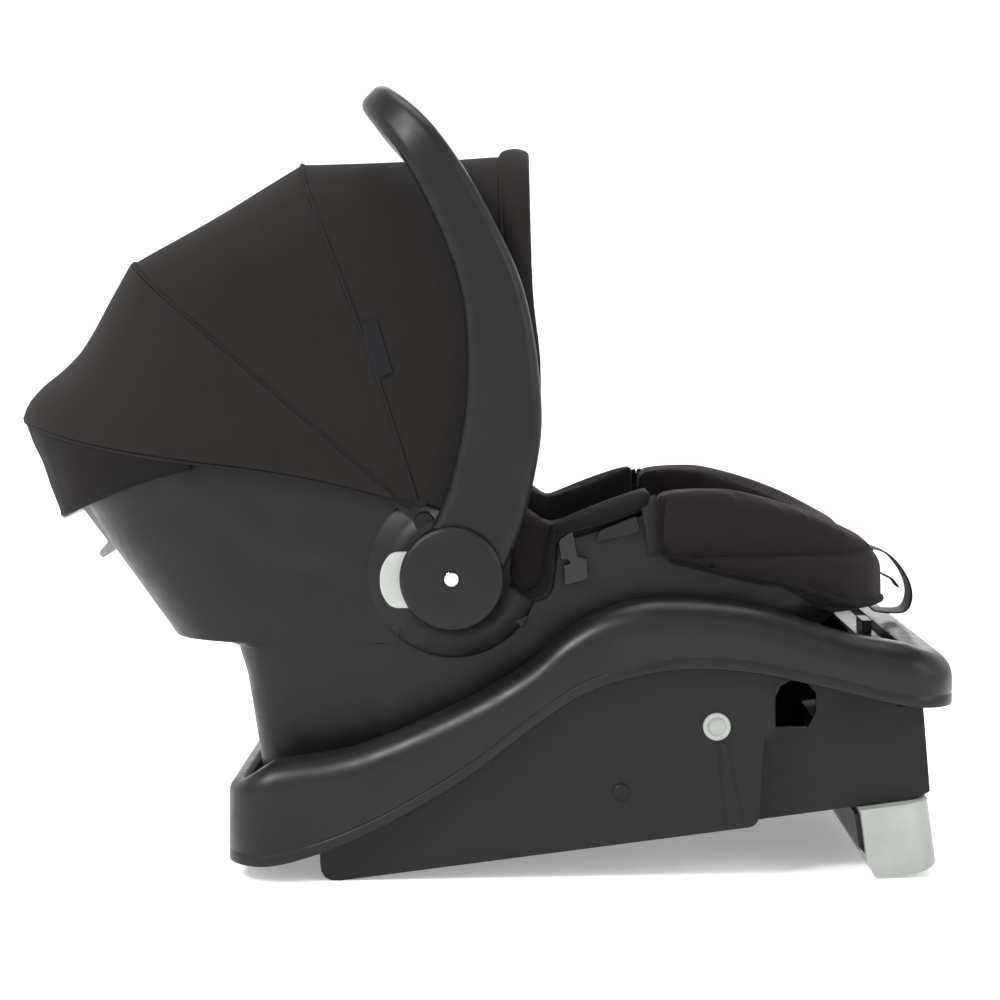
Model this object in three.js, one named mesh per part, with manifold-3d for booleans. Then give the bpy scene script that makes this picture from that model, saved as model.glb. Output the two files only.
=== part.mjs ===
// Infant car seat: a bucket carrier with a swing handle and a folding canopy,
// standing on its separate vehicle base with the recline foot let down.
// Millimetres. +X runs from the head end to the feet end, +Z is up, and the
// child's left side is +Y. Every left/right pair is built once and mirrored.

import * as THREE from 'three';
import { mergeVertices } from 'three/addons/utils/BufferGeometryUtils.js';
import Module from 'manifold-3d';

const wasm = await Module();
wasm.setup();

// ---- driving dimensions -------------------------------------------------

const GAP = 0.4; // air between neighbouring pieces
const DATUM_X = 28.92; // puts the middle of the overall length on x = 0
const TILT = THREE.MathUtils.degToRad(7.6); // base floor, raised by the recline foot

const SHELL_HALF = 163; // carrier shell, half width at the rim
const SHELL_WALL = 4.5;
const SEAT_SKIN = 5; // seat pan thickness under the cushions
const CUSHION = 22; // seat and back cushion thickness

const BASE_HALF = 205; // base rim, half width
const TRAY_HALF = 188; // lower base body, half width
const BELT_BAY_HALF = 165; // narrower part of the lower body, at the feet end
const BASE_WALL = 4;
const RIM_DEPTH = 33; // across the base rim, from its outer face to its inner skirt
const RIM_DEPTH_HEAD = 15; // the same at the head end, where the carrier's heel comes close
const BASE_HEAD_X = -205;
const BASE_FEET_X = 341;

const HUB = { x: -36, z: 233, radius: 39 }; // handle pivot
const HUB_INNER = 182; // |y| where the handle drum starts
const HUB_SPLIT = 208; // |y| where its round cover starts
const HUB_OUTER = 217; // |y| of the cover's face
const RIVET_RADIUS = 4;

const REAR_ROD = { x: -128, z: 64, radius: 5 }; // rods that the carrier latches to
const FRONT_ROD = { x: 92, z: 68, radius: 5 };

const CANOPY_PIVOT = { x: -58, z: 272 };
const CANOPY_HALF = 173.2; // half width over the canopy fabric
const FABRIC = 3; // canopy fabric with its lining
const SEAM = 1.6; // air left at each sewn edge between two panels
const WEBBING = { width: 38, thickness: 1.6 };

// Side outline of the rim that the carrier shell ends at, head end first.
const RIM_LINE = [[-400, 352], [-330, 347], [-230, 332], [-130, 312], [-60, 296], [-15, 282],
  [20, 262], [45, 257], [80, 266], [118, 279], [160, 280], [215, 262], [262, 232], [300, 206]];

// Side outline of the seat pan that the cushions lie on, head end first.
const PAN_LINE = [[-420, 381], [-380, 352], [-235, 240], [-110, 146], [-60, 122], [0, 112],
  [60, 114], [120, 135], [200, 178], [266, 216], [320, 250]];

// Upper and lower edge of the base rim, head end first.
const BASE_TOP = [[-205, 76], [-177, 91], [-110, 103], [-36, 134], [17, 164], [50, 192],
  [85, 210], [129, 217], [193, 211], [258, 191], [297, 184], [341, 176]];
const BASE_LOW = [[-205, 13], [-162, 16], [-99, 39], [-29, 79], [28, 122], [70, 148],
  [129, 163], [183, 162], [237, 152], [301, 137], [341, 134]];

// Level slices of the carrier shell: height, head end, feet end, half width
// and plan corner radii. The step at 176 is the ledge behind the foot.
const SHELL_SLICES = [
  { z: 74, head: -187, feet: 112, half: 150, rHead: 30, rFeet: 30 },
  { z: 100, head: -191, feet: 132, half: 153, rHead: 32, rFeet: 32 },
  { z: 126, head: -195, feet: 152, half: 156, rHead: 34, rFeet: 40 },
  { z: 150, head: -199, feet: 202, half: 158, rHead: 36, rFeet: 50 },
  { z: 172, head: -206, feet: 236, half: 160, rHead: 40, rFeet: 62 },
  { z: 176, head: -218, feet: 241, half: 160, rHead: 44, rFeet: 64 },
  { z: 178, head: -259, feet: 244, half: 160, rHead: 70, rFeet: 66 },
  { z: 205, head: -279, feet: 280, half: 162, rHead: 76, rFeet: 84 },
  { z: 250, head: -313, feet: 289, half: SHELL_HALF, rHead: 84, rFeet: 88 },
  { z: 360, head: -395, feet: 292, half: SHELL_HALF, rHead: 96, rFeet: 90 },
];

// ---- finishes -------------------------------------------------------------

const FINISH = {
  shellPlastic: { color: 0x2f2f31, roughness: 0.55, metalness: 0 },
  basePlastic: { color: 0x333433, roughness: 0.5, metalness: 0 },
  trayPlastic: { color: 0x2c2c2d, roughness: 0.6, metalness: 0 },
  blackPlastic: { color: 0x17171a, roughness: 0.4, metalness: 0 },
  glossPlastic: { color: 0x1b1c1e, roughness: 0.15, metalness: 0 },
  greyPlastic: { color: 0x9a9e98, roughness: 0.5, metalness: 0 },
  palePlastic: { color: 0xc4c8c3, roughness: 0.45, metalness: 0 },
  redPlastic: { color: 0xa3201c, roughness: 0.4, metalness: 0 },
  foam: { color: 0xdcdcd8, roughness: 0.95, metalness: 0 },
  canopyFabric: { color: 0x1f1d1c, roughness: 0.9, metalness: 0 },
  padFabric: { color: 0x241f21, roughness: 0.92, metalness: 0 },
  webbing: { color: 0x1a1a1b, roughness: 0.85, metalness: 0 },
  tagFabric: { color: 0x26262a, roughness: 0.7, metalness: 0 },
  steel: { color: 0xb8babb, roughness: 0.3, metalness: 1 },
  chrome: { color: 0xe4e6e8, roughness: 0.08, metalness: 1 },
  window: { color: 0x9fc3d6, roughness: 0.2, metalness: 0 },
};

const seat = new THREE.Group();
seat.position.x = DATUM_X;

function add(name, geometry, finish, parent = seat) {
  const mesh = new THREE.Mesh(geometry, new THREE.MeshStandardMaterial(FINISH[finish]));
  mesh.name = name;
  parent.add(mesh);
}

// The piece on the child's left, and its mirror image on the right.
function addPair(name, geometry, finish) {
  add(`${name}_left`, geometry, finish);
  add(`${name}_right`, mirrored(geometry), finish);
}

// ---- geometry helpers -------------------------------------------------------

// Shared corner points only, without the triangles that merging flattens.
function welded(geometry) {
  const bare = geometry.clone();
  bare.deleteAttribute('normal');
  bare.deleteAttribute('uv');
  const merged = mergeVertices(bare, 1e-4);
  const index = [];
  for (let i = 0; i < merged.index.count; i += 3) {
    const [a, b, c] = [0, 1, 2].map((k) => merged.index.getX(i + k));
    if (a !== b && b !== c && c !== a) index.push(a, b, c);
  }
  merged.setIndex(index);
  return merged;
}

function toSolid(geometry) {
  const { attributes, index } = welded(geometry);
  return new wasm.Manifold(new wasm.Mesh({
    numProp: 3,
    vertProperties: new Float32Array(attributes.position.array),
    triVerts: new Uint32Array(index.array),
  }));
}

function toGeometry(manifold) {
  const mesh = manifold.getMesh();
  const geometry = new THREE.BufferGeometry();
  geometry.setAttribute('position', new THREE.BufferAttribute(mesh.vertProperties, 3));
  geometry.setIndex(Array.from(mesh.triVerts));
  geometry.computeVertexNormals();
  return geometry;
}

const join = (first, ...rest) =>
  toGeometry(rest.reduce((sum, next) => sum.add(toSolid(next)), toSolid(first)));
const cut = (first, ...rest) =>
  toGeometry(rest.reduce((left, next) => left.subtract(toSolid(next)), toSolid(first)));
const common = (first, ...rest) =>
  toGeometry(rest.reduce((part, next) => part.intersect(toSolid(next)), toSolid(first)));

// A closed solid from shared vertices, turned so that its faces point out.
function closedGeometry(vertices, triangles) {
  let volume = 0;
  for (const [a, b, c] of triangles) {
    volume += vertices[a].dot(vertices[b].clone().cross(vertices[c]));
  }
  const index = triangles.flatMap(([a, b, c]) => (volume > 0 ? [a, b, c] : [a, c, b]));
  const geometry = new THREE.BufferGeometry().setFromPoints(vertices);
  geometry.setIndex(index);
  geometry.computeVertexNormals();
  return geometry;
}

// A skin over rings of equally many points. The ends are closed by capFaces,
// or the last ring joins the first when looped.
function loft(rings, { looped = false, capFaces = null } = {}) {
  const count = rings[0].length;
  const triangles = [];
  const spans = looped ? rings.length : rings.length - 1;
  for (let i = 0; i < spans; i++) {
    const low = i * count;
    const high = ((i + 1) % rings.length) * count;
    for (let j = 0; j < count; j++) {
      const k = (j + 1) % count;
      triangles.push([low + j, low + k, high + k], [low + j, high + k, high + j]);
    }
  }
  if (!looped) {
    const faces = capFaces ?? fan(count);
    const last = (rings.length - 1) * count;
    for (const [a, b, c] of faces) {
      triangles.push([a, c, b], [last + a, last + b, last + c]);
    }
  }
  return closedGeometry(rings.flat(), triangles);
}

// Triangles of a flat profile, running the same way round as the profile.
function profileFaces(profile) {
  const points = profile.map(([a, b]) => new THREE.Vector2(a, b));
  const faces = THREE.ShapeUtils.triangulateShape(points, []);
  const follows = faces.some((face) => face.some((v, i) => face[(i + 1) % 3] === v + 1));
  return follows ? faces : faces.map(([a, b, c]) => [a, c, b]);
}

const fan = (count) => Array.from({ length: count - 2 }, (_, i) => [0, i + 1, i + 2]);

function mirrored(geometry) {
  const copy = welded(geometry).scale(1, -1, 1);
  const index = Array.from(copy.index.array);
  for (let i = 0; i < index.length; i += 3) {
    [index[i + 1], index[i + 2]] = [index[i + 2], index[i + 1]];
  }
  copy.setIndex(index);
  copy.computeVertexNormals();
  return copy;
}

// A side outline from [x, z] or [x, z, rounding] corners; the rounding starts
// that far from the corner.
function outline(corners) {
  const points = corners.map(([x, z]) => new THREE.Vector2(x, z));
  const shape = new THREE.Shape();
  corners.forEach(([, , rounding = 0], i) => {
    const corner = points[i];
    const before = points[(i + points.length - 1) % points.length];
    const after = points[(i + 1) % points.length];
    const start = corner.clone().add(before.clone().sub(corner).setLength(rounding || 1e-9));
    const end = corner.clone().add(after.clone().sub(corner).setLength(rounding || 1e-9));
    if (!rounding) {
      if (i === 0) shape.moveTo(corner.x, corner.y);
      else shape.lineTo(corner.x, corner.y);
      return;
    }
    if (i === 0) shape.moveTo(start.x, start.y);
    else shape.lineTo(start.x, start.y);
    shape.quadraticCurveTo(corner.x, corner.y, end.x, end.y);
  });
  return shape;
}

// A side outline extruded across the seat from one y to another.
function plate(shape, yLow, yHigh, curveSegments = 4) {
  const options = { depth: yHigh - yLow, bevelEnabled: false, curveSegments };
  return new THREE.ExtrudeGeometry(shape, options).rotateX(Math.PI / 2).translate(0, yHigh, 0);
}

function box(xLow, xHigh, yLow, yHigh, zLow, zHigh) {
  return new THREE.BoxGeometry(xHigh - xLow, yHigh - yLow, zHigh - zLow)
    .translate((xLow + xHigh) / 2, (yLow + yHigh) / 2, (zLow + zHigh) / 2);
}

// A round bar along Y through (x, z).
function crossBar(x, z, radius, yLow, yHigh, segments = 20) {
  return new THREE.CylinderGeometry(radius, radius, yHigh - yLow, segments)
    .translate(x, (yLow + yHigh) / 2, z);
}

// A turned piece on a cross axis through (x, z), from [radius, y] points.
function turned(x, z, profile, segments = 28) {
  const points = profile.map(([radius, y]) => new THREE.Vector2(radius, y));
  return new THREE.LatheGeometry(points, segments).translate(x, 0, z);
}

const spline = (line) => new THREE.SplineCurve(line.map(([x, z]) => new THREE.Vector2(x, z)));

// Height of a side line at x.
function heightAt(line, x) {
  const i = Math.max(1, line.findIndex(([px]) => px >= x));
  const [x0, z0] = line[i - 1];
  const [x1, z1] = line[i];
  return z0 + ((z1 - z0) * (x - x0)) / (x1 - x0);
}

// The smooth height function of a side line, sampled finely enough for lofting.
function smoothLine(line, samples = 60) {
  return spline(line).getPoints(samples).map((p) => [p.x, p.y]);
}

// The side outline between a line (raised by dz) and a far level.
function regionBeside(line, level, dz = 0, samples = 18) {
  const points = spline(line).getPoints(samples);
  const shape = new THREE.Shape();
  shape.moveTo(points[0].x, level);
  points.forEach((p) => shape.lineTo(p.x, p.y + dz));
  shape.lineTo(points[points.length - 1].x, level);
  return shape;
}

// A rounded rectangle in plan at one height, as a ring of points.
function planRing({ z, head, feet, half, rHead, rFeet }, inset = 0, perCorner = 4) {
  const ring = [];
  const corners = [
    { cx: feet - rFeet, cy: half - rFeet, r: rFeet, from: 0 },
    { cx: head + rHead, cy: half - rHead, r: rHead, from: 90 },
    { cx: head + rHead, cy: rHead - half, r: rHead, from: 180 },
    { cx: feet - rFeet, cy: rFeet - half, r: rFeet, from: 270 },
  ];
  for (const { cx, cy, r, from } of corners) {
    for (let i = 0; i <= perCorner; i++) {
      const angle = THREE.MathUtils.degToRad(from + (90 * i) / perCorner);
      const reach = Math.max(r - inset, 1);
      const x = cx + reach * Math.cos(angle);
      ring.push(new THREE.Vector3(x, cy + reach * Math.sin(angle), z));
    }
  }
  return ring;
}

// The carrier's outer form, or the same form drawn in by inset.
function shellForm(inset = 0, bottom = SHELL_SLICES[0].z) {
  const slices = SHELL_SLICES.map((slice) => ({ ...slice }));
  slices[0].z = bottom;
  return loft(slices.map((slice) => planRing(slice, inset)));
}

// Webbing or strap along a route, lying across the given direction.
function strap(route, across, width, thickness, samples = 12) {
  const curve = new THREE.CatmullRomCurve3(route.map((p) => new THREE.Vector3(...p)));
  const side = new THREE.Vector3(...across).normalize();
  const rings = curve.getPoints(samples).map((point, i) => {
    const tangent = curve.getTangent(i / samples);
    const up = tangent.clone().cross(side).normalize();
    const wide = up.clone().cross(tangent).normalize();
    return [[1, 1], [-1, 1], [-1, -1], [1, -1]].map(([a, b]) => point.clone()
      .addScaledVector(wide, (a * width) / 2)
      .addScaledVector(up, (b * thickness) / 2));
  });
  return loft(rings);
}

// A U-shaped route: up a side curve on one side, round a corner, across, and
// down the same curve on the other side. Each stop gives its point, how far it
// is along the side curve, and the curve's direction there.
function arch(sideLine, half, corner, options = {}) {
  const { start = 0, drop = 0, legStops = 6, cornerStops = 4 } = options;
  const curve = spline(sideLine);
  const whole = curve.getLength();
  const length = whole - drop;
  const legs = [];
  for (let i = 0; i < legStops; i++) {
    const s = start + ((length - corner - start) * i) / legStops;
    legs.push([s, half]);
  }
  for (let i = 0; i <= cornerStops; i++) {
    const angle = ((Math.PI / 2) * i) / cornerStops;
    legs.push([length - corner + corner * Math.sin(angle), half - corner * (1 - Math.cos(angle))]);
  }
  const stops = [...legs, ...legs.slice().reverse().map(([s, y]) => [s, -y])];
  return stops.map(([s, y]) => {
    const u = Math.min(s / whole, 1);
    const point = curve.getPointAt(u);
    const heading = curve.getTangentAt(u);
    return { point: new THREE.Vector3(point.x, y, point.y), heading, u };
  });
}

// A bar of the given section along an arch. The section's first direction
// lies in the side view, square to the side curve; the second points outwards.
function archBar(stops, section, capFaces) {
  const rings = stops.map(({ point, heading, u }, i) => {
    const before = stops[Math.max(i - 1, 0)].point;
    const after = stops[Math.min(i + 1, stops.length - 1)].point;
    const tangent = after.clone().sub(before).normalize();
    const wide = new THREE.Vector3(heading.y, 0, -heading.x);
    const out = wide.clone().cross(tangent).normalize();
    return section(u).map(([a, b]) => point.clone()
      .addScaledVector(wide, a).addScaledVector(out, b));
  });
  return loft(rings, { capFaces });
}

// A fabric skin between two arches with equally many stops. The sag pulls the
// middle of the span towards the inside; the flat sides of the hood stay taut.
function fabricSkin(from, to, { sag = 0, rows = 3, thickness = FABRIC, inside }) {
  const point = (i, share) => {
    const edge = SEAM / from[i].point.distanceTo(to[i].point);
    const a = edge + share * (1 - 2 * edge);
    const p = from[i].point.clone().lerp(to[i].point, a);
    const slack = Math.min(2 * (1 - Math.abs(p.y) / CANOPY_HALF), 1);
    const pull = inside.clone().sub(p).setLength(sag * slack * Math.sin(Math.PI * a));
    return sag && slack > 0 ? p.add(pull) : p;
  };
  const rings = from.map((_, i) => {
    const near = Math.max(i - 1, 0);
    const far = Math.min(i + 1, from.length - 1);
    const outer = [];
    const inner = [];
    for (let j = 0; j <= rows; j++) {
      const a = j / rows;
      const p = point(i, a);
      const along = point(far, a).sub(point(near, a));
      const over = point(i, Math.min(a + 0.05, 1)).sub(point(i, Math.max(a - 0.05, 0)));
      const normal = along.cross(over).normalize();
      if (normal.dot(inside.clone().sub(p)) < 0) normal.negate();
      outer.push(p);
      inner.unshift(p.clone().addScaledVector(normal, thickness));
    }
    return [...outer, ...inner];
  });
  const last = rows * 2 + 1;
  const capFaces = [];
  for (let j = 0; j < rows; j++) {
    capFaces.push([j, j + 1, last - j - 1], [j, last - j - 1, last - j]);
  }
  return loft(rings, { capFaces });
}

// ---- the vehicle base -------------------------------------------------------

// Plan loop of the base rim: points with their outward directions.
function baseLoop() {
  const corner = 42;
  const loop = [];
  const sideStops = 15;
  const headX = BASE_HEAD_X + corner;
  const feetX = BASE_FEET_X - corner;
  for (let i = 0; i <= sideStops; i++) {
    loop.push({ x: feetX + ((headX - feetX) * i) / sideStops, y: BASE_HALF, nx: 0, ny: 1 });
  }
  const turn = (cx, cy, from) => {
    for (let i = 1; i < 4; i++) {
      const angle = THREE.MathUtils.degToRad(from + 22.5 * i);
      const [nx, ny] = [Math.cos(angle), Math.sin(angle)];
      loop.push({ x: cx + corner * nx, y: cy + corner * ny, nx, ny });
    }
  };
  turn(headX, BASE_HALF - corner, 90);
  loop.push({ x: BASE_HEAD_X, y: BASE_HALF - corner, nx: -1, ny: 0 });
  loop.push({ x: BASE_HEAD_X, y: corner - BASE_HALF, nx: -1, ny: 0 });
  turn(headX, corner - BASE_HALF, 180);
  for (let i = sideStops; i >= 0; i--) {
    loop.push({ x: feetX + ((headX - feetX) * i) / sideStops, y: -BASE_HALF, nx: 0, ny: -1 });
  }
  turn(feetX, corner - BASE_HALF, 270);
  loop.push({ x: BASE_FEET_X, y: corner - BASE_HALF, nx: 1, ny: 0 });
  loop.push({ x: BASE_FEET_X, y: BASE_HALF - corner, nx: 1, ny: 0 });
  turn(feetX, BASE_HALF - corner, 0);
  return loop;
}

// The upper moulding: a rounded band, open underneath, with an inner skirt
// round the carrier's well and a deck at the feet end.
function baseRim() {
  const topLine = smoothLine(BASE_TOP);
  const lowLine = smoothLine(BASE_LOW);
  const rings = baseLoop().map(({ x, y, nx, ny }) => {
    const top = heightAt(topLine, x);
    const low = heightAt(lowLine, x);
    const depth = nx < 0 ? RIM_DEPTH - (RIM_DEPTH - RIM_DEPTH_HEAD) * nx * nx : RIM_DEPTH;
    const skirt = Math.max(top - 45, low, 42);
    const w = BASE_WALL;
    const r = depth * 0.66;
    const section = [
      [0, low], [0, top - r], [-0.18 * r, top - 0.5 * r], [-0.5 * r, top - 0.12 * r],
      [-r, top], [3 - depth, top - 1.5], [-depth, top - 6], [-depth, skirt],
      [w - depth, skirt], [w - depth, top - w - 5], [-Math.max(r - 1, w + 1), top - w],
      [-Math.max(0.55 * r, w + 0.6), top - w - 0.25 * r], [-w, top - r - 1], [-w, low],
    ];
    return section.map(([out, z]) => new THREE.Vector3(x + nx * out, y + ny * out, z));
  });
  const band = loft(rings, { looped: true });
  const inner = BASE_HALF - RIM_DEPTH + 2;
  const deck = box(293, BASE_FEET_X - RIM_DEPTH + 2, -inner, inner, 163, 167);
  const { x, z, radius } = REAR_ROD;
  return cut(join(band, deck), crossBar(x, z, radius + GAP, -194, 194));
}

function baseTray() {
  const skirt = smoothLine(BASE_TOP, 12).filter(([x]) => x < 222 && x > -184).reverse()
    .map(([x, z]) => [x, z - 16]);
  const side = outline([[-186, 34], [-137, 32], [-137, -2.1, 16], [196, 42.3, 8], [200, 109.5],
    [209, 112], [207, 138], [212, 149], [224, 156], [224, 190], ...skirt, [-186, 62]]);
  const hollow = outline([[-182, 38], [-133, 36], [-133, 3, 14], [192, 46.4], [196, 113.5],
    [205, 116], [203, 139], [209, 152], [220, 160], [220, 400], [-182, 400]]);
  const bay = outline([[180, 40.2], [321, 59.5, 3], [329.5, 65], [321.5, 160], [180, 160]]);
  const bayHollow = outline([[150, 40.8], [324.8, 65], [316, 300], [150, 300]]);
  const beltPath = outline([[211, 114], [236, 114], [242, 126], [242, 140], [232, 152],
    [218, 152], [211, 146]]);
  const well = plate(hollow, BASE_WALL - TRAY_HALF, TRAY_HALF - BASE_WALL);
  const bayWell = plate(bayHollow, BASE_WALL - BELT_BAY_HALF, BELT_BAY_HALF - BASE_WALL);
  const body = cut(
    join(plate(side, -TRAY_HALF, TRAY_HALF), plate(bay, -BELT_BAY_HALF, BELT_BAY_HALF)),
    well, bayWell, plate(beltPath, -220, 220),
  );
  const reach = TRAY_HALF - BASE_WALL / 2;
  const ribs = [-126, 66].map((x) => {
    const floor = (x + 137) * Math.tan(TILT) - 0.5;
    return cut(join(box(x, x + 4, -reach, reach, floor, 44), box(x, x + 4, -168, 168, floor, 70)),
      box(-200, 250, -70, 70, 40, 90));
  });
  const rounded = [-10, 300].map((z) => planRing({ z, head: -186, feet: 340, half: TRAY_HALF,
    rHead: 32, rFeet: 8 }, 0, 3));
  const feetSkirtSlot = box(304, 316, -180, 180, 130, 400);
  const sideSkirtSlot = box(180, 330, 169.5, 178.5, 150, 400);
  return cut(common(join(body, ...ribs), loft(rounded)), footSlot(), lockWindow(),
    feetSkirtSlot, sideSkirtSlot, mirrored(sideSkirtSlot), anchorHole(ANCHOR.radius + GAP));
}

// The recline foot and its lock share a frame on the base floor:
// x along the floor, z square to it.
const footFrame = new THREE.Group();
footFrame.position.set(297, 0, 59.5);
footFrame.rotation.y = -TILT;
seat.add(footFrame);

const FOOT = { half: 150, headX: -27, feetX: 27, low: -57.5, high: 30 };
const LOCK = { z: 36, halfY: 14, halfZ: 9 };

function onFloor(geometry) {
  return geometry.rotateY(-TILT).translate(footFrame.position.x, 0, footFrame.position.z);
}

const footSlot = () => onFloor(box(FOOT.headX - 0.6, FOOT.feetX + 0.6, -FOOT.half - 3,
  FOOT.half + 3, -14, 14));
const lockWindow = () => onFloor(box(20, 40, -LOCK.halfY - 1, LOCK.halfY + 1,
  LOCK.z - LOCK.halfZ - 1, LOCK.z + LOCK.halfZ + 1));

function reclineFoot() {
  const shape = outline([[FOOT.headX, FOOT.high], [FOOT.headX, FOOT.low + 11],
    [FOOT.headX + 8, FOOT.low], [FOOT.feetX - 3, FOOT.low], [FOOT.feetX, FOOT.low + 3],
    [FOOT.feetX, FOOT.high]]);
  const shoe = plate(shape, -FOOT.half, FOOT.half);
  const hollow = box(FOOT.headX + 4, FOOT.feetX - 4, 4 - FOOT.half, FOOT.half - 4,
    FOOT.low + 5, FOOT.high + 10);
  const lockChannel = box(15, 40, -LOCK.halfY - 4, LOCK.halfY + 4, FOOT.low + 20, 60);
  return cut(shoe, hollow, lockChannel);
}

const ANCHOR = { x: 164, z: 118.5, radius: 5 };
const anchorHole = (radius) => crossBar(ANCHOR.x, ANCHOR.z, radius, -250, 250);

function anchorCap() {
  const profile = [[0, 188.4], [10, 188.4], [10, 190.5], [8.6, 191.5], [6.8, 191.2],
    [6, 190.6], [0, 190.6]];
  return cut(turned(ANCHOR.x, ANCHOR.z, profile, 16),
    crossBar(ANCHOR.x, ANCHOR.z, ANCHOR.radius + GAP, 150, 189.8));
}

function addBase() {
  add('base_rim', baseRim(), 'basePlastic');
  const rodHoles = [REAR_ROD, FRONT_ROD]
    .map(({ x, z, radius }) => crossBar(x, z, radius + GAP, -250, 250));
  add('base_tray', cut(baseTray(), ...rodHoles), 'trayPlastic');
  const rodHalf = TRAY_HALF + 2;
  for (const [name, { x, z, radius }] of [['rear', REAR_ROD], ['front', FRONT_ROD]]) {
    add(`latch_rod_${name}`, crossBar(x, z, radius, -rodHalf, rodHalf, 16), 'steel');
  }
  add('anchor_rod', crossBar(ANCHOR.x, ANCHOR.z, ANCHOR.radius, -189.4, 189.4, 16), 'steel');
  addPair('anchor_cap', anchorCap(), 'greyPlastic');
  const bezel = box(298, 306, -17, 17, 167 + GAP, 178);
  add('level_bezel', cut(bezel, box(300, 310, -14, 14, 170, 176)), 'blackPlastic');
  add('level_window', box(300 + GAP, 305, -13.5, 13.5, 170.5, 175.5), 'window');

  add('recline_foot', reclineFoot(), 'greyPlastic', footFrame);
  const button = plate(outline([[24, LOCK.z - LOCK.halfZ], [36, LOCK.z - LOCK.halfZ + 1, 2],
    [36, LOCK.z + LOCK.halfZ - 1, 2], [24, LOCK.z + LOCK.halfZ]]), -LOCK.halfY, LOCK.halfY);
  add('foot_lock_button', button, 'greyPlastic', footFrame);
}

// ---- the carrier shell and what is fixed in it ---------------------------------

const belowRim = (dz = 0) => plate(regionBeside(RIM_LINE, -100, dz), -250, 250);
const abovePan = (dz = 0) => plate(regionBeside(PAN_LINE, 500, dz), -250, 250);
const belowPan = (dz = 0) => plate(regionBeside(PAN_LINE, -100, dz), -250, 250);

// The moulded shell. Spare is the air that a neighbour's cut leaves round it.
function carrierShell(spare = 0) {
  const outer = common(shellForm(-spare), belowRim(spare));
  const seatSpace = common(shellForm(SHELL_WALL + spare), abovePan(spare));
  const underside = common(shellForm(SHELL_WALL + spare, 40), belowPan(-SEAT_SKIN - spare));
  return cut(outer, seatSpace, underside);
}

const hubBore = (radius) => crossBar(HUB.x, HUB.z, radius, -250, 250);
const canopyBore = (radius) => crossBar(CANOPY_PIVOT.x, CANOPY_PIVOT.z, radius, -250, 250, 12);

// A turned boss on the shell's side that the handle swings on.
function pivotBoss() {
  return turned(HUB.x, HUB.z, [[0, SHELL_HALF - 2], [33, SHELL_HALF - 2], [33, 170], [30, 176],
    [16, 178], [16, 184], [0, 184]]);
}

// The toothed wheel that the handle's catch drops into.
function lockGear() {
  const teeth = 10;
  const shape = new THREE.Shape();
  for (let i = 0; i < teeth * 4; i++) {
    const angle = (Math.PI * 2 * (i - 0.5)) / (teeth * 4);
    const radius = i % 4 < 2 ? 26 : 21;
    const [x, z] = [HUB.x + radius * Math.cos(angle), HUB.z + radius * Math.sin(angle)];
    if (i === 0) shape.moveTo(x, z);
    else shape.lineTo(x, z);
  }
  return cut(plate(shape, 184 + GAP, 195), hubBore(RIVET_RADIUS + GAP));
}

// The fixed hooks that straddle the front rod, with the rails that carry them.
function frontHooks() {
  const hook = outline([[74, 98], [74, 66], [80, 60], [85.5, 60], [85.5, 75], [98.5, 75],
    [98.5, 66], [110, 66], [110, 98]]);
  const rail = box(-40, 110, 40, 52, 90, 98);
  const near = join(plate(hook, 40, 52), rail);
  const tie = box(100, 108, -45, 45, 90, 98);
  return join(near, mirrored(near), tie);
}

// Two hooks on one shaft above the rear rod. Their noses stand beside the rod,
// and swing away from it on an arc about the shaft.
const JAW = { x: -112, z: 96, shaft: 5, noseInner: 42, noseOuter: 49 };

function latchJaw() {
  const polar = (r, degrees) => {
    const angle = THREE.MathUtils.degToRad(degrees);
    return [JAW.x + r * Math.cos(angle), JAW.z + r * Math.sin(angle)];
  };
  const hook = outline([polar(10, 170), polar(10, 50), polar(JAW.noseOuter, -50),
    polar(JAW.noseOuter, -76), polar(JAW.noseOuter, -102), polar(JAW.noseInner, -102),
    polar(JAW.noseInner, -88), polar(JAW.noseInner, -76), polar(20, -90)]);
  const near = plate(hook, 38, 50);
  return join(near, mirrored(near), crossBar(JAW.x, JAW.z, JAW.shaft, -145, 145, 12));
}

// The squeeze handle on the shell's back: points along the back and off it.
const BACK = { x: -388, z: 350, dx: 0.6, dz: -0.8 };
const LEVER = { low: 80, high: 131, half: 36 };
const offBack = (along, off, ...rounding) => [BACK.x + BACK.dx * along + BACK.dz * off,
  BACK.z + BACK.dz * along - BACK.dx * off, ...rounding];

function releaseLever() {
  const { low, high, half } = LEVER;
  return plate(outline([offBack(low, 5), offBack(low, 30, 2), offBack(low + 6, 30, 2),
    offBack(low + 8, 12, 3), offBack(high - 8, 12, 3), offBack(high - 6, 24, 2),
    offBack(high, 24, 2), offBack(high, 5)]), -half, half);
}

function addCarrier() {
  const rearNotch = box(-140, -116, -200, 200, 50, 76);
  const form = join(carrierShell(), pivotBoss(), mirrored(pivotBoss()));
  const shell = cut(form, hubBore(RIVET_RADIUS + GAP), canopyBore(4.4), rearNotch,
    crotchSlot(), adjusterSlot(), ...harnessSlots());
  add('carrier_shell', shell, 'shellPlastic');
  addPair('lock_gear', lockGear(), 'palePlastic');
  const stud = turned(CANOPY_PIVOT.x, CANOPY_PIVOT.z, [[0, 152], [7, 152], [7, 157.8],
    [4, 157.8], [4, 172], [8, 172], [7, 174], [0, 174]], 14);
  addPair('canopy_stud', stud, 'blackPlastic');
  add('front_hooks', frontHooks(), 'steel');
  add('latch_jaw', latchJaw(), 'steel');
  add('release_lever', releaseLever(), 'greyPlastic');
}

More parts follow.
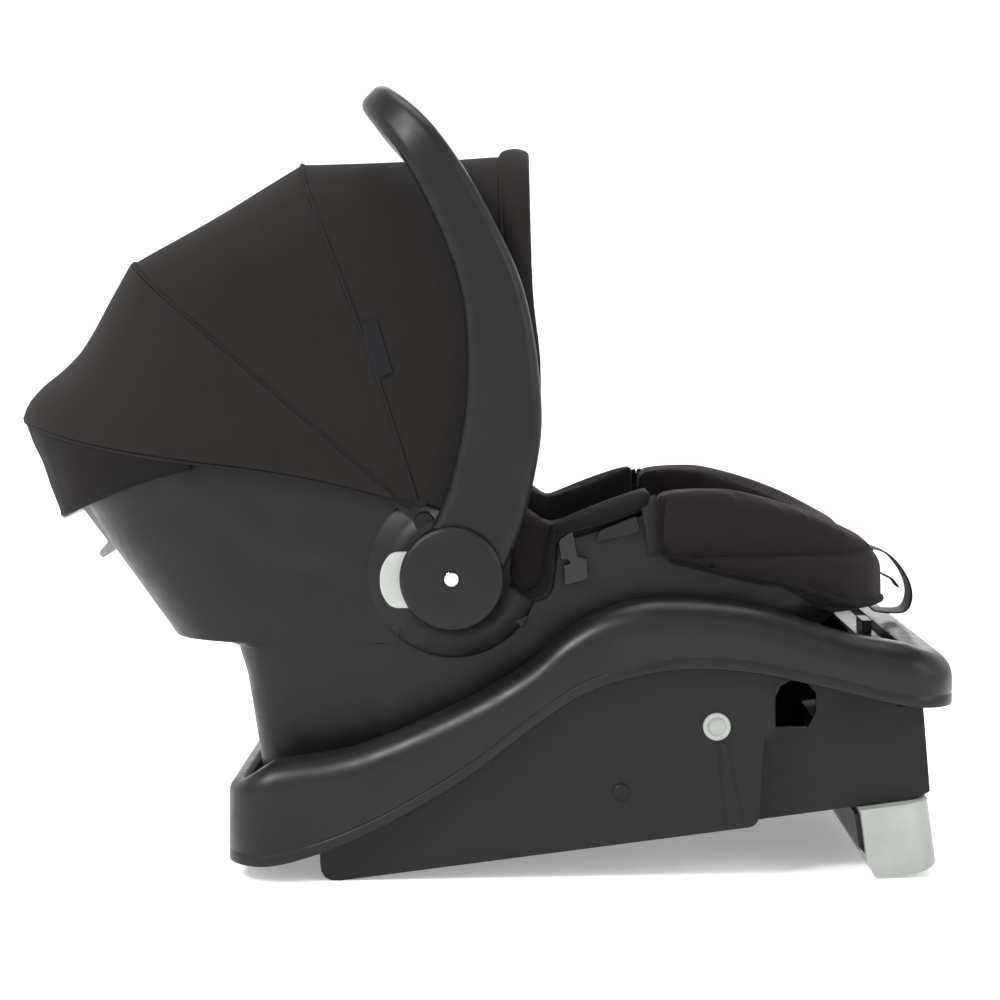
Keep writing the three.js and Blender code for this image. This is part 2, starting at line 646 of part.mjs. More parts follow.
// Slots where the harness goes through the cushions and the shell.
const SHOULDER = { x: -238, y: 46 };
const CROTCH = { x: 44 };
const ADJUSTER = { x: 262, z: 231, half: 22 };
const slot = (x, y) => box(x - 8, x + 8, y - 21, y + 21, 60, 400);
const harnessSlots = () => [slot(SHOULDER.x, SHOULDER.y), slot(SHOULDER.x, -SHOULDER.y)];
const crotchSlot = () => slot(CROTCH.x, 0);
const adjusterSlot = () => slot(ADJUSTER.x, 0);
const adjusterPocket = () => box(ADJUSTER.x - 9, 320, -ADJUSTER.half - 1, ADJUSTER.half + 1,
  60, ADJUSTER.z + 16);

// ---- soft pieces ------------------------------------------------------------

function foamLiner() {
  const band = cut(shellForm(SHELL_WALL + 1), shellForm(SHELL_WALL + 17));
  const room = box(-400, -30, -200, 200, 0, 500);
  return cut(common(band, room, abovePan(1), belowRim(-10)), canopyBore(11), hubBore(11));
}

// One cushion of the seat pan between two places along the seat.
function cushion(xLow, xHigh, ...slots) {
  const slab = common(shellForm(SHELL_WALL + 19), abovePan(1), belowPan(CUSHION),
    box(xLow, xHigh, -200, 200, 0, 500));
  return cut(slab, ...slots);
}

// Everything inside the seat that a pad must leave free: the child's room.
const childRoom = (inset) => cut(common(shellForm(inset), abovePan(-40)), belowPan(-39));

// What lies under the rim pads inside the shell: the pan and its cushions.
const underPads = () => common(shellForm(3, 40), belowPan(CUSHION + 1.5));

// The padded cover folded over the rim at the feet end.
function footPad() {
  const side = outline([[119, 246, 10], [118, 292, 8], [158, 299, 30], [236, 276, 30],
    [303, 240, 24], [303, 200, 12], [262, 197, 20], [215, 221, 20], [160, 233, 20]]);
  const plan = [0, 400].map((z) => planRing({ z, head: 60, feet: 303, half: 178,
    rHead: 10, rFeet: 104 }, 0, 6));
  return cut(common(plate(side, -178, 178), loft(plan)), carrierShell(0.6), childRoom(34),
    underPads(), adjusterPocket());
}

// The cover's wing over the rim beside the child's hip, with the flap that
// hangs outside between the handle hub and the belt hook.
function sideWing() {
  const wing = outline([[-26, 300, 10], [-4, 296, 10], [37, 272, 8], [117, 297, 4],
    [117, 284], [44, 262, 6], [37, 212, 12], [14, 212, 10], [8, 250], [-10, 262], [-26, 270]]);
  const inner = outline([[-26, 300, 10], [-4, 296, 10], [37, 272, 8], [117, 297, 4],
    [117, 130], [-26, 130]]);
  const flap = common(plate(wing, 150, 172), box(6, 117, 0, 300, 0, 400));
  const filling = common(plate(inner, 132, 163), shellForm(SHELL_WALL + 0.6));
  return cut(join(flap, filling), carrierShell(0.6), underPads(), hubBore(34));
}

function beltHook() {
  const hook = outline([[44, 258, 3], [55, 266, 3], [59, 246], [66, 244], [67, 228, 3],
    [49, 223, 3], [48, 238], [53, 240], [52, 243], [46, 243]]);
  return plate(hook, SHELL_HALF + GAP, SHELL_HALF + 7);
}

const beltGuide = () => plate(outline([[73, 256, 2], [75, 265, 6], [104, 277, 2], [107, 264]]),
  SHELL_HALF + GAP, SHELL_HALF + 5);

function addSoftPieces() {
  add('foam_liner', foamLiner(), 'foam');
  add('back_cushion', cushion(-400, -64, ...harnessSlots()), 'padFabric');
  add('seat_cushion', cushion(-63, 330, crotchSlot(), adjusterSlot()), 'padFabric');
  add('foot_pad', footPad(), 'padFabric');
  addPair('side_wing', sideWing(), 'padFabric');
  addPair('belt_hook', beltHook(), 'glossPlastic');
  addPair('belt_guide', beltGuide(), 'blackPlastic');
}

// ---- harness ------------------------------------------------------------------

const panPoints = smoothLine(PAN_LINE);
const overPan = (x, y, lift) => [x, y, heightAt(panPoints, x) + lift];
const BUCKLE = { head: 22, feet: 42, half: 22, low: 150, high: 205 };
const TONGUE = { head: 30.5, feet: 33.5, mid: 25, low: 192, shoulder: 208, high: 230 };

function buckleBody() {
  const { head, feet, half, low, high } = BUCKLE;
  const side = outline([[head, low, 5], [feet, low, 5], [feet, high, 5], [head, high, 5]]);
  const buttonBay = box(feet - 7, feet + 5, -13, 13, 164, 192);
  const mouth = box(TONGUE.head - GAP, TONGUE.feet + GAP, 2, 18, TONGUE.low - GAP, high + 5);
  return cut(plate(side, -half, half), buttonBay, mouth, mirrored(mouth));
}

function buckleTongue() {
  const { head, feet, mid, low, shoulder, high } = TONGUE;
  const stem = box(head, feet, 3, 17, low, shoulder + 2);
  const plateTop = box(head, feet, mid - 23, mid + 23, shoulder, high);
  return cut(join(stem, plateTop), box(head - 5, feet + 5, mid - 20, mid + 20, 217, 224));
}

// The clip that holds the two shoulder straps together on the chest.
function chestClip() {
  const [head, feet] = [-126, -100];
  const low = 33;
  const high = 40;
  const side = outline([[head, overPan(head, 0, low)[2]], [feet, overPan(feet, 0, low)[2]],
    [feet, overPan(feet, 0, high)[2]], [head, overPan(head, 0, high)[2]]]);
  return plate(side, -56, 56);
}

function addHarness() {
  const acrossY = [0, 1, 0];
  const { width, thickness } = WEBBING;
  const shoulder = [overPan(SHOULDER.x, 46, -20), overPan(SHOULDER.x, 46, 8),
    overPan(SHOULDER.x + 10, 46, 27), overPan(-180, 42, 27), overPan(-110, 34, 28),
    overPan(-50, 28, 44), [4, TONGUE.mid, 206], [26, TONGUE.mid, 220.5],
    [40, TONGUE.mid, 219.5]];
  addPair('shoulder_strap', strap(shoulder, acrossY, width, thickness, 18), 'webbing');
  const lap = [[35.2, 26, 204], [35.2, 52, 202], [22, 84, 184], [2, 108, 162], [-6, 120, 150]];
  addPair('lap_strap', strap(lap, [0, 0.25, 1], 26, thickness, 10), 'webbing');
  const crotch = [overPan(CROTCH.x, 0, -12), overPan(CROTCH.x, 0, 14), [38, 0, 144],
    [32, 0, BUCKLE.low - 1.5]];
  add('crotch_strap', strap(crotch, acrossY, 36, thickness, 8), 'webbing');
  add('buckle_body', buckleBody(), 'blackPlastic');
  add('buckle_button', box(BUCKLE.feet - 4, BUCKLE.feet + 1.5, -12.5, 12.5, 164.5, 191.5),
    'redPlastic');
  addPair('buckle_tongue', buckleTongue(), 'steel');
  add('chest_clip', chestClip(), 'blackPlastic');

  const { x, z, half } = ADJUSTER;
  const housing = cut(box(x + 9, x + 19, -half, half, z - 40, z), belowPan(0.6),
    box(x + 5, x + 25, -13, 13, z - 5, z + 5));
  add('adjuster_housing', housing, 'blackPlastic');
  add('adjuster_button', box(x + 10, x + 18, -12.5, 12.5, z - 2.5, z + 2.5), 'greyPlastic');
  const loop = [[x, 0, 190], [x, 0, 220], [x + 6, 0, 236], [289, 0, 237.5], [306, 0, 238],
    [322, 0, 231], [335, 0, 214], [339, 0, 198], [334, 0, 186], [320, 0, 184.5], [308, 0, 186]];
  add('adjuster_strap', strap(loop, acrossY, width, thickness, 26), 'webbing');
}

// ---- handle -------------------------------------------------------------------

// Side curve of the handle arm from the hub to the grip, and its width there.
const HANDLE_LINE = [[HUB.x, HUB.z], [-16, 272], [-5, 310], [2, 352], [1, 400], [-6, 447],
  [-22, 490], [-44, 529], [-68, 562], [-92, 585]];
const HANDLE_WIDTH = [[0, 64], [0.3, 60], [0.5, 50], [0.65, 42], [0.85, 35], [1, 27]];
const HANDLE_MID = (HUB_INNER + HUB_SPLIT) / 2;
const HANDLE_CORNER = 62;
const GRIP_THICKNESS = 24;

function handleSection(u, wall = BASE_WALL) {
  const w = heightAt(HANDLE_WIDTH, u) / 2;
  const t = GRIP_THICKNESS / 2;
  const r = 8;
  return [[-w, -t], [-w, t - r], [-w + r * 0.3, t - r * 0.3], [-w + r, t], [w - r, t],
    [w - r * 0.3, t - r * 0.3], [w, t - r], [w, -t], [w - wall, -t], [w - wall, t - wall],
    [-w + wall, t - wall], [-w + wall, -t]];
}

// The release tab's slot, behind the round cover and clear of the lock gear.
const TAB = { low: 210, high: 252, inner: -53, outer: -90, yLow: 198, yHigh: 205 };

function handleFrame() {
  const stops = arch(HANDLE_LINE, HANDLE_MID, HANDLE_CORNER, { legStops: 9 });
  const bar = archBar(stops, handleSection, profileFaces(handleSection(0)));
  const drums = [1, -1].map((side) => {
    const drum = turned(HUB.x, HUB.z, [[0, HUB_INNER], [HUB.radius, HUB_INNER],
      [HUB.radius, HUB_SPLIT], [0, HUB_SPLIT]]);
    return side > 0 ? drum : mirrored(drum);
  });
  const pocket = crossBar(HUB.x, HUB.z, 31, HUB_INNER - 5, 196.5, 28);
  const slot = box(-120, -44, TAB.yLow - 0.6, TAB.yHigh + 0.6, TAB.low - 1, TAB.high + 1);
  const cuts = [pocket, slot].flatMap((piece) => [piece, mirrored(piece)]);
  return cut(join(bar, ...drums), ...cuts, hubBore(RIVET_RADIUS + GAP));
}

// The grip's soft insert, filling the channel of the cross bar.
function handleGrip() {
  const w = 13.5 - BASE_WALL - GAP;
  const section = () => [[-w, -12], [-w, 7.4], [w, 7.4], [w, -12], [w - 4, -15], [-w + 4, -15]];
  const stops = arch(HANDLE_LINE, HANDLE_MID, HANDLE_CORNER, { legStops: 2 })
    .filter(({ point }) => Math.abs(point.y) < HANDLE_MID - HANDLE_CORNER + 1);
  return archBar(stops, section);
}

function addHandle() {
  add('handle_frame', handleFrame(), 'shellPlastic');
  add('handle_grip', handleGrip(), 'blackPlastic');
  const cover = turned(HUB.x, HUB.z, [[RIVET_RADIUS + GAP, HUB_SPLIT + GAP],
    [HUB.radius, HUB_SPLIT + GAP], [HUB.radius, HUB_OUTER - 4], [HUB.radius - 3, HUB_OUTER - 1],
    [HUB.radius - 8, HUB_OUTER], [RIVET_RADIUS + GAP, HUB_OUTER],
    [RIVET_RADIUS + GAP, HUB_SPLIT + GAP]], 28);
  addPair('hub_cover', cover, 'shellPlastic');
  const rivet = turned(HUB.x, HUB.z, [[0, 148], [8, 148], [8, 151.5], [RIVET_RADIUS, 151.5],
    [RIVET_RADIUS, HUB_OUTER + GAP], [5.3, HUB_OUTER + GAP], [4.4, HUB_OUTER + 1.3],
    [0, HUB_OUTER + 1.6]], 14);
  addPair('pivot_rivet', rivet, 'chrome');
  const tab = plate(outline([[TAB.inner, TAB.low], [-82, TAB.low, 5], [TAB.outer, 222, 7],
    [TAB.outer, 240, 7], [-82, TAB.high, 5], [TAB.inner, TAB.high]]), TAB.yLow, TAB.yHigh);
  addPair('release_tab', tab, 'palePlastic');
}

// ---- canopy -------------------------------------------------------------------

const toCanopy = (line) => line.map(([x, z]) => [CANOPY_PIVOT.x + x, CANOPY_PIVOT.z + z]);
const canopyCentre = new THREE.Vector3(CANOPY_PIVOT.x - 70, 0, CANOPY_PIVOT.z + 80);
const CANOPY_CORNER = 62;
const HEM_START = 44; // how far up the bows the fabric starts

// Side curves of the bows and of the fabric's lower edges. The ears of the
// three bows sit side by side on the canopy studs.
const BOW_THICK = 1.8;
const BOWS = {
  rear: { line: toCanopy([[0, 0], [-115, 99], [-230, 199]]), half: 168.9 },
  mid: { line: toCanopy([[0, 0], [-42, 130], [-98, 276]]), half: 166.7 },
  front: { line: toCanopy([[0, 0], [30, 62], [52, 150], [54, 281]]), half: 164.5 },
};
const HOOD_EDGE = toCanopy([[0, 0], [-171, 38], [-342, 76]]);
const ELASTIC_TOP = toCanopy([[-184, 37], [-262, 54], [-339, 71]]);
const ELASTIC_HEM = toCanopy([[-184, 33], [-240, 18], [-316, -9]]);
const VISOR_LINE = toCanopy([[64, 38], [77, 80], [79, 120], [72, 180], [70, 283]]);
const HOOD_CORNER = 104;

function canopyBow({ line, half }) {
  const stops = arch(line, half, CANOPY_CORNER, { drop: FABRIC + 5, legStops: 4 });
  const strip = archBar(stops, () => [[-5, -BOW_THICK / 2], [-5, BOW_THICK / 2],
    [5, BOW_THICK / 2], [5, -BOW_THICK / 2]]);
  const [low, high] = [half - BOW_THICK / 2, half + BOW_THICK / 2];
  const ear = crossBar(CANOPY_PIVOT.x, CANOPY_PIVOT.z, 9, low, high, 16);
  return cut(join(strip, ear, mirrored(ear)), canopyBore(4 + GAP));
}

function hoodPanel(from, to, sag) {
  const options = { start: HEM_START, legStops: 5 };
  return fabricSkin(arch(from, CANOPY_HALF, CANOPY_CORNER, options),
    arch(to, CANOPY_HALF, CANOPY_CORNER, options), { sag, inside: canopyCentre });
}

function addCanopy() {
  for (const [name, bow] of Object.entries(BOWS)) {
    add(`canopy_bow_${name}`, canopyBow(bow), 'blackPlastic');
  }
  add('canopy_panel_front', hoodPanel(BOWS.mid.line, BOWS.front.line, 2), 'canopyFabric');
  add('canopy_panel_mid', hoodPanel(BOWS.rear.line, BOWS.mid.line, 2), 'canopyFabric');

  const hood = arch(BOWS.rear.line, CANOPY_HALF, CANOPY_CORNER,
    { start: HEM_START, legStops: 5 });
  const edge = arch(HOOD_EDGE, CANOPY_HALF, HOOD_CORNER, { start: HEM_START, legStops: 5 });
  add('canopy_panel_rear', fabricSkin(hood, edge, { sag: 4, rows: 4, inside: canopyCentre }),
    'canopyFabric');
  const top = arch(ELASTIC_TOP, CANOPY_HALF, HOOD_CORNER, { start: 2, legStops: 3 });
  const hem = arch(ELASTIC_HEM, CANOPY_HALF, HOOD_CORNER, { start: 2, legStops: 3 });
  add('canopy_back_elastic', fabricSkin(top, hem, { rows: 2, inside: canopyCentre }),
    'canopyFabric');

  const visor = arch(VISOR_LINE, CANOPY_HALF - 5, CANOPY_CORNER - 4, { legStops: 5 });
  const oval = Array.from({ length: 10 }, (_, i) => (Math.PI * 2 * i) / 10);
  add('canopy_visor', archBar(visor, () => oval.map((t) => [9.5 * Math.cos(t), 5 * Math.sin(t)])),
    'canopyFabric');
  const tag = outline([[-106, 423, 1], [-94, 427, 1], [-82, 386, 1], [-94, 382, 1]]);
  add('canopy_tag', plate(tag, -CANOPY_HALF - 1.6, -CANOPY_HALF - GAP), 'tagFabric');
}

// ---- assembly -------------------------------------------------------------------

addBase();
addCarrier();
addSoftPieces();
addHarness();
addHandle();
addCanopy();

export default seat;
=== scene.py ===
# Infant car seat on its base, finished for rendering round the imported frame.
# Drawing coordinates are millimetres; DATUM_X is added to x on the way to the
# row frame. The near side is -Y, the child's right.

import math

import bmesh
import bpy
import numpy as np
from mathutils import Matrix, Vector, noise
from mathutils.bvhtree import BVHTree


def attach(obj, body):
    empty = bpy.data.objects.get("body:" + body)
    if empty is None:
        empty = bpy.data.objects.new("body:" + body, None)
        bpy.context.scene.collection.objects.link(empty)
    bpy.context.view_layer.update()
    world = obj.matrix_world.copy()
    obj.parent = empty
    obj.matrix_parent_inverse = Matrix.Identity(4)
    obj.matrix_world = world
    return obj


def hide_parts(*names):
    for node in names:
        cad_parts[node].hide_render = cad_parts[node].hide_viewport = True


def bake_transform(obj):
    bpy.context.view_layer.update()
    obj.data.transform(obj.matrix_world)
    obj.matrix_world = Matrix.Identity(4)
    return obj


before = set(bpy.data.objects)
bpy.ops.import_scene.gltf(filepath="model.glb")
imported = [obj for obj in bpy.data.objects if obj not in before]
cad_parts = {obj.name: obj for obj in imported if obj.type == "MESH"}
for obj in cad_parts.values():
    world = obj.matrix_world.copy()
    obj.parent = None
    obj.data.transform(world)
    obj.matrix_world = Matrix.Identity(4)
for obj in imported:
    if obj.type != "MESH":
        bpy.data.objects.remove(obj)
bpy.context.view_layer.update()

DATUM_X = 28.92
SIDES = (("left", 1), ("right", -1))

# ---- camera, floor and light ---------------------------------------------------------

CAMERA_AT = (0.0484, -1.960, 0.4185)
FOCAL_PX = 2350
STAGE_GLOW = 0.3
Y_AXIS_PX = (26, 85)  # where the +Y direction meets the unshifted picture, from its middle
SHIFT_PX = 85

scene = bpy.context.scene
camera_data = bpy.data.cameras.new("camera")
camera = bpy.data.objects.new("camera", camera_data)
scene.collection.objects.link(camera)
scene.camera = camera
scene.view_settings.view_transform = "Standard"
camera_data.sensor_width = 36
camera_data.lens = FOCAL_PX * 36 / 1000
camera_data.clip_start = 0.05
camera.location = CAMERA_AT
yaw = math.atan2(Y_AXIS_PX[0], FOCAL_PX)
pitch = math.atan2(Y_AXIS_PX[1], FOCAL_PX)
camera.rotation_euler = (math.pi / 2 - pitch, 0, yaw)
camera_data.shift_y = -SHIFT_PX / 1000


def area_light(name, at, towards, size, power, tint=(1, 1, 1)):
    data = bpy.data.lights.new(name, "AREA")
    data.shape = "RECTANGLE"
    data.size, data.size_y = size
    data.energy = power
    data.color = tint
    light = bpy.data.objects.new(name, data)
    scene.collection.objects.link(light)
    light.location = at
    heading = Vector(towards) - Vector(at)
    light.rotation_euler = heading.to_track_quat("-Z", "Y").to_euler()


area_light("key_light", (-1.6, -1.9, 2.3), (0, 0, 0.25), (0.9, 0.9), 95)
area_light("fill_light", (2.2, -1.6, 1.2), (0.05, 0, 0.2), (1.2, 1.4), 16)
area_light("top_light", (0.1, 0.2, 2.6), (0, 0, 0.2), (1.8, 1.4), 40)
area_light("back_light", (0.3, 2.6, 1.5), (0, 0, 0.3), (2.4, 1.4), 24)

world = bpy.data.worlds.new("studio")
scene.world = world
world.use_nodes = True
world.node_tree.nodes["Background"].inputs["Color"].default_value = (0.97, 0.98, 1.0, 1)
world.node_tree.nodes["Background"].inputs["Strength"].default_value = 0.42

# ---- materials -----------------------------------------------------------------------


class Shader:
    """A material's node tree, with short ways to add and join nodes."""

    def __init__(self, name):
        self.material = bpy.data.materials.new(name)
        self.material.use_nodes = True
        self.tree = self.material.node_tree
        self.bsdf = self.tree.nodes["Principled BSDF"]
        self.coordinates = self.add("ShaderNodeTexCoord")

    def add(self, kind, **settings):
        node = self.tree.nodes.new(kind)
        for key, value in settings.items():
            setattr(node, key, value)
        return node

    def join(self, source, target):
        self.tree.links.new(source, target)

    def noise(self, scale, detail=3.0, roughness=0.55, stretch=None):
        node = self.add("ShaderNodeTexNoise")
        node.inputs["Scale"].default_value = scale
        node.inputs["Detail"].default_value = detail
        node.inputs["Roughness"].default_value = roughness
        self.join(self.place(stretch), node.inputs["Vector"])
        return node.outputs["Fac"]

    def place(self, stretch=None):
        if stretch is None:
            return self.coordinates.outputs["Object"]
        mapping = self.add("ShaderNodeMapping")
        mapping.inputs["Scale"].default_value = stretch
        self.join(self.coordinates.outputs["Object"], mapping.inputs["Vector"])
        return mapping.outputs["Vector"]

    def math(self, operation, a, b=None):
        node = self.add("ShaderNodeMath", operation=operation)
        for socket, value in zip(node.inputs, (a, b)):
            if value is None:
                continue
            if isinstance(value, (int, float)):
                socket.default_value = value
            else:
                self.join(value, socket)
        return node.outputs[0]

    def ramp(self, fac, low, high, start=0.0, end=1.0):
        node = self.add("ShaderNodeValToRGB")
        node.color_ramp.elements[0].position = start
        node.color_ramp.elements[1].position = end
        node.color_ramp.elements[0].color = (*low, 1)
        node.color_ramp.elements[1].color = (*high, 1)
        self.join(fac, node.inputs["Fac"])
        return node.outputs["Color"]

    def mix(self, fac, a, b):
        node = self.add("ShaderNodeMix", data_type="RGBA")
        self.join(fac, node.inputs[0])
        for socket, value in ((node.inputs[6], a), (node.inputs[7], b)):
            if isinstance(value, tuple):
                socket.default_value = (*value, 1)
            else:
                self.join(value, socket)
        return node.outputs[2]

    def bump(self, height, distance, strength=1.0, after=None):
        node = self.add("ShaderNodeBump")
        node.inputs["Distance"].default_value = distance
        node.inputs["Strength"].default_value = strength
        self.join(height, node.inputs["Height"])
        if after is not None:
            self.join(after, node.inputs["Normal"])
        return node.outputs["Normal"]

    def set(self, **values):
        for key, value in values.items():
            socket = self.bsdf.inputs[key.replace("_", " ")]
            if isinstance(value, (int, float)):
                socket.default_value = value
            elif isinstance(value, tuple):
                socket.default_value = (*value, 1)
            else:
                self.join(value, socket)


def srgb(*values):
    """Linear colour from 0-255 display values."""
    return tuple(
        v / 255 / 12.92 if v <= 10.3 else ((v / 255 + 0.055) / 1.055) ** 2.4 for v in values
    )


def shade(colour, factor):
    return tuple(min(c * factor, 1) for c in colour)


def plastic(name, colour, rough=0.42, grain=0.00012, wear=1.8, specular=0.24):
    """Moulded plastic: fine grain, slow blotches, and edges rubbed a little lighter."""
    s = Shader(name)
    blotch = s.noise(26, 4)
    base = s.ramp(blotch, shade(colour, 0.88), shade(colour, 1.14), 0.3, 0.7)
    geometry = s.add("ShaderNodeNewGeometry")
    edge = s.ramp(geometry.outputs["Pointiness"], (0, 0, 0), (1, 1, 1), 0.52, 0.6)
    scuff = s.math("MULTIPLY", edge, s.noise(240, 2))
    s.set(Base_Color=s.mix(scuff, base, shade(colour, wear)))
    fine = s.noise(1500, 2, 0.6)
    rough_low, rough_high = (rough - 0.05,) * 3, (rough + 0.07,) * 3
    s.set(Roughness=s.ramp(s.noise(90, 3), rough_low, rough_high, 0.3, 0.7))
    s.set(Normal=s.bump(fine, grain, 0.55))
    s.bsdf.inputs["Specular IOR Level"].default_value = specular
    return s.material


def gloss(name, colour, rough=0.12):
    s = Shader(name)
    s.set(Base_Color=s.ramp(s.noise(40, 3), shade(colour, 0.9), shade(colour, 1.1), 0.3, 0.7))
    s.set(Roughness=s.ramp(s.noise(300, 3), (rough,) * 3, (rough + 0.08,) * 3, 0.4, 0.7))
    s.set(Normal=s.bump(s.noise(60, 2), 0.00008, 0.4))
    s.bsdf.inputs["Coat Weight"].default_value = 0.12
    s.bsdf.inputs["Specular IOR Level"].default_value = 0.35
    s.bsdf.inputs["Coat Roughness"].default_value = 0.06
    return s.material


def metal(name, colour, rough=0.3, brushed=(1, 1, 1)):
    s = Shader(name)
    s.bsdf.inputs["Metallic"].default_value = 1
    streak = s.noise(420, 3, 0.6, brushed)
    s.set(Base_Color=s.ramp(streak, shade(colour, 0.82), colour, 0.3, 0.7))
    s.set(Roughness=s.ramp(streak, (rough * 0.7,) * 3, (rough * 1.3,) * 3, 0.3, 0.7))
    s.set(Normal=s.bump(streak, 0.00003, 0.5))
    return s.material


def cloth(name, colour, thread=0.0009, lift=0.00022, fuzz=0.25, tint=(0.6, 0.55, 0.55)):
    """Woven or knitted cloth: crossing threads, slubs, lint and a soft sheen."""
    s = Shader(name)
    k = 2 * math.pi / thread
    parts = s.add("ShaderNodeSeparateXYZ")
    s.join(s.place(), parts.inputs[0])
    x, y, z = (parts.outputs[i] for i in range(3))
    run = s.math("SINE", s.math("MULTIPLY", s.math("ADD", x, y), k))
    rise = s.math("SINE", s.math("MULTIPLY", s.math("ADD", z, s.math("MULTIPLY", y, 0.5)), k))
    weave = s.math("ADD", s.math("MULTIPLY", s.math("MULTIPLY", run, rise), 0.5), 0.5)
    slub = s.noise(700, 3, 0.7)
    height = s.math("ADD", s.math("MULTIPLY", weave, 0.6), s.math("MULTIPLY", slub, 0.8))
    tone = s.ramp(height, shade(colour, 0.62), shade(colour, 1.35), 0.25, 0.95)
    wash = s.ramp(s.noise(14, 3), (0, 0, 0), (1, 1, 1), 0.4, 0.75)
    s.set(Base_Color=s.mix(s.math("MULTIPLY", wash, 0.35), tone, shade(colour, 1.5)))
    folds = s.bump(s.noise(45, 3, 0.5), 0.0008, 0.35)
    s.set(Normal=s.bump(height, lift, 0.7, folds))
    s.bsdf.inputs["Roughness"].default_value = 0.92
    s.bsdf.inputs["Specular IOR Level"].default_value = 0.12
    s.bsdf.inputs["Sheen Weight"].default_value = fuzz
    s.bsdf.inputs["Sheen Roughness"].default_value = 0.5
    s.bsdf.inputs["Sheen Tint"].default_value = (*tint, 1)
    return s.material


def webbing_cloth(name, colour):
    """Seat-belt webbing: tight ribs along its length."""
    s = Shader(name)
    uv = s.add("ShaderNodeSeparateXYZ")
    s.join(s.coordinates.outputs["UV"], uv.inputs[0])
    across = s.math("SINE", s.math("MULTIPLY", uv.outputs[0], 2 * math.pi / 0.0022))
    along = s.math("SINE", s.math("MULTIPLY", uv.outputs[1], 2 * math.pi / 0.0014))
    ribs = s.math("ADD", s.math("MULTIPLY", s.math("ADD", across, along), 0.25), 0.5)
    s.set(Base_Color=s.ramp(ribs, shade(colour, 0.6), shade(colour, 1.5), 0.2, 0.9))
    s.set(Normal=s.bump(ribs, 0.0003, 0.8))
    s.bsdf.inputs["Roughness"].default_value = 0.62
    s.bsdf.inputs["Sheen Weight"].default_value = 0.06
    s.bsdf.inputs["Specular IOR Level"].default_value = 0.25
    return s.material


def foam_beads(name, colour):
    s = Shader(name)
    cells = s.add("ShaderNodeTexVoronoi")
    cells.inputs["Scale"].default_value = 260
    s.join(s.place(), cells.inputs["Vector"])
    s.set(Base_Color=s.ramp(cells.outputs["Distance"], colour, shade(colour, 0.8), 0.1, 0.7))
    s.set(Normal=s.bump(cells.outputs["Distance"], 0.0004, 0.6))
    s.bsdf.inputs["Roughness"].default_value = 0.9
    return s.material


MATERIALS = {
    "shell_plastic": plastic("shell_plastic", srgb(15, 15, 16), 0.4),
    "base_plastic": plastic("base_plastic", srgb(17, 18, 17), 0.34),
    "tray_plastic": plastic("tray_plastic", srgb(12, 12, 13), 0.46),
    "black_plastic": plastic("black_plastic", srgb(15, 15, 16), 0.36),
    "gloss_plastic": gloss("gloss_plastic", srgb(9, 9, 10), 0.2),
    "grey_plastic": plastic("grey_plastic", srgb(140, 144, 139), 0.42, wear=1.2),
    "pale_plastic": plastic("pale_plastic", srgb(158, 161, 157), 0.38, wear=1.1),
    "red_plastic": gloss("red_plastic", srgb(168, 34, 28), 0.25),
    "foam": foam_beads("foam", srgb(44, 43, 43)),
    "canopy_fabric": cloth("canopy_fabric", srgb(26, 24, 23), 0.0009, fuzz=0.05),
    "pad_fabric": cloth("pad_fabric", srgb(21, 17, 18), 0.0013, 0.0003, 0.07, (0.7, 0.6, 0.62)),
    "stretch": cloth("stretch", srgb(17, 15, 15), 0.0006, 0.0001, 0.04),
    "binding": cloth("binding", srgb(14, 13, 14), 0.0007, 0.0002, 0.05),
    "webbing": webbing_cloth("webbing", srgb(11, 11, 12)),
    "tag_fabric": cloth("tag_fabric", srgb(24, 24, 27), 0.0005, 0.0001, 0.05),
    "steel": metal("steel", srgb(196, 198, 199), 0.32, (1, 0.05, 1)),
    "chrome": metal("chrome", srgb(226, 228, 230), 0.09),
    "window": gloss("window", srgb(160, 196, 214), 0.08),
}

# ---- geometry helpers ----------------------------------------------------------------


def at(x, y, z):
    """Row-frame metres from drawing millimetres."""
    return Vector(((x + DATUM_X) / 1000, y / 1000, z / 1000))


def make(name, vertices, faces, material, body=None, slot=None, hides=(), smooth=35, uv=None):
    """A mesh piece with its material and body; slot is not used. Edges sharper than smooth stay
    hard.
    """
    mesh = bpy.data.meshes.new(name)
    mesh.from_pydata([tuple(v) for v in vertices], [], faces)
    mesh.validate()
    if uv is not None:
        layer = mesh.uv_layers.new(name="flat")
        for loop in mesh.loops:
            layer.data[loop.index].uv = uv[loop.vertex_index]
    piece = bpy.data.objects.new(name, mesh)
    scene.collection.objects.link(piece)
    outward(piece)
    finish(piece, material, body, hides, smooth)
    return piece


def outward(piece):
    """Turns every closed island's faces out."""
    bm = bmesh.new()
    bm.from_mesh(piece.data)
    bmesh.ops.recalc_face_normals(bm, faces=bm.faces)
    bm.to_mesh(piece.data)
    bm.free()


def finish(piece, material, body=None, hides=(), smooth=35):
    piece.data.materials.clear()
    piece.data.materials.append(MATERIALS[material])
    soften(piece, smooth)
    if body:
        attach(piece, body)
    if hides:
        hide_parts(*hides)


def soften(piece, angle=35):
    """Smooth shading with hard edges above an angle."""
    piece.data.polygons.foreach_set("use_smooth", [True] * len(piece.data.polygons))
    bm = bmesh.new()
    bm.from_mesh(piece.data)
    for edge in bm.edges:
        edge.smooth = len(edge.link_faces) == 2 and edge.calc_face_angle(0) < math.radians(angle)
    bm.to_mesh(piece.data)
    bm.free()


def bevel(piece, width=0.0008, segments=2, angle=35):
    modifier = piece.modifiers.new("bevel", "BEVEL")
    modifier.width = width
    modifier.segments = segments
    modifier.limit_method = "ANGLE"
    modifier.angle_limit = math.radians(angle)
    modifier.harden_normals = True
    return piece


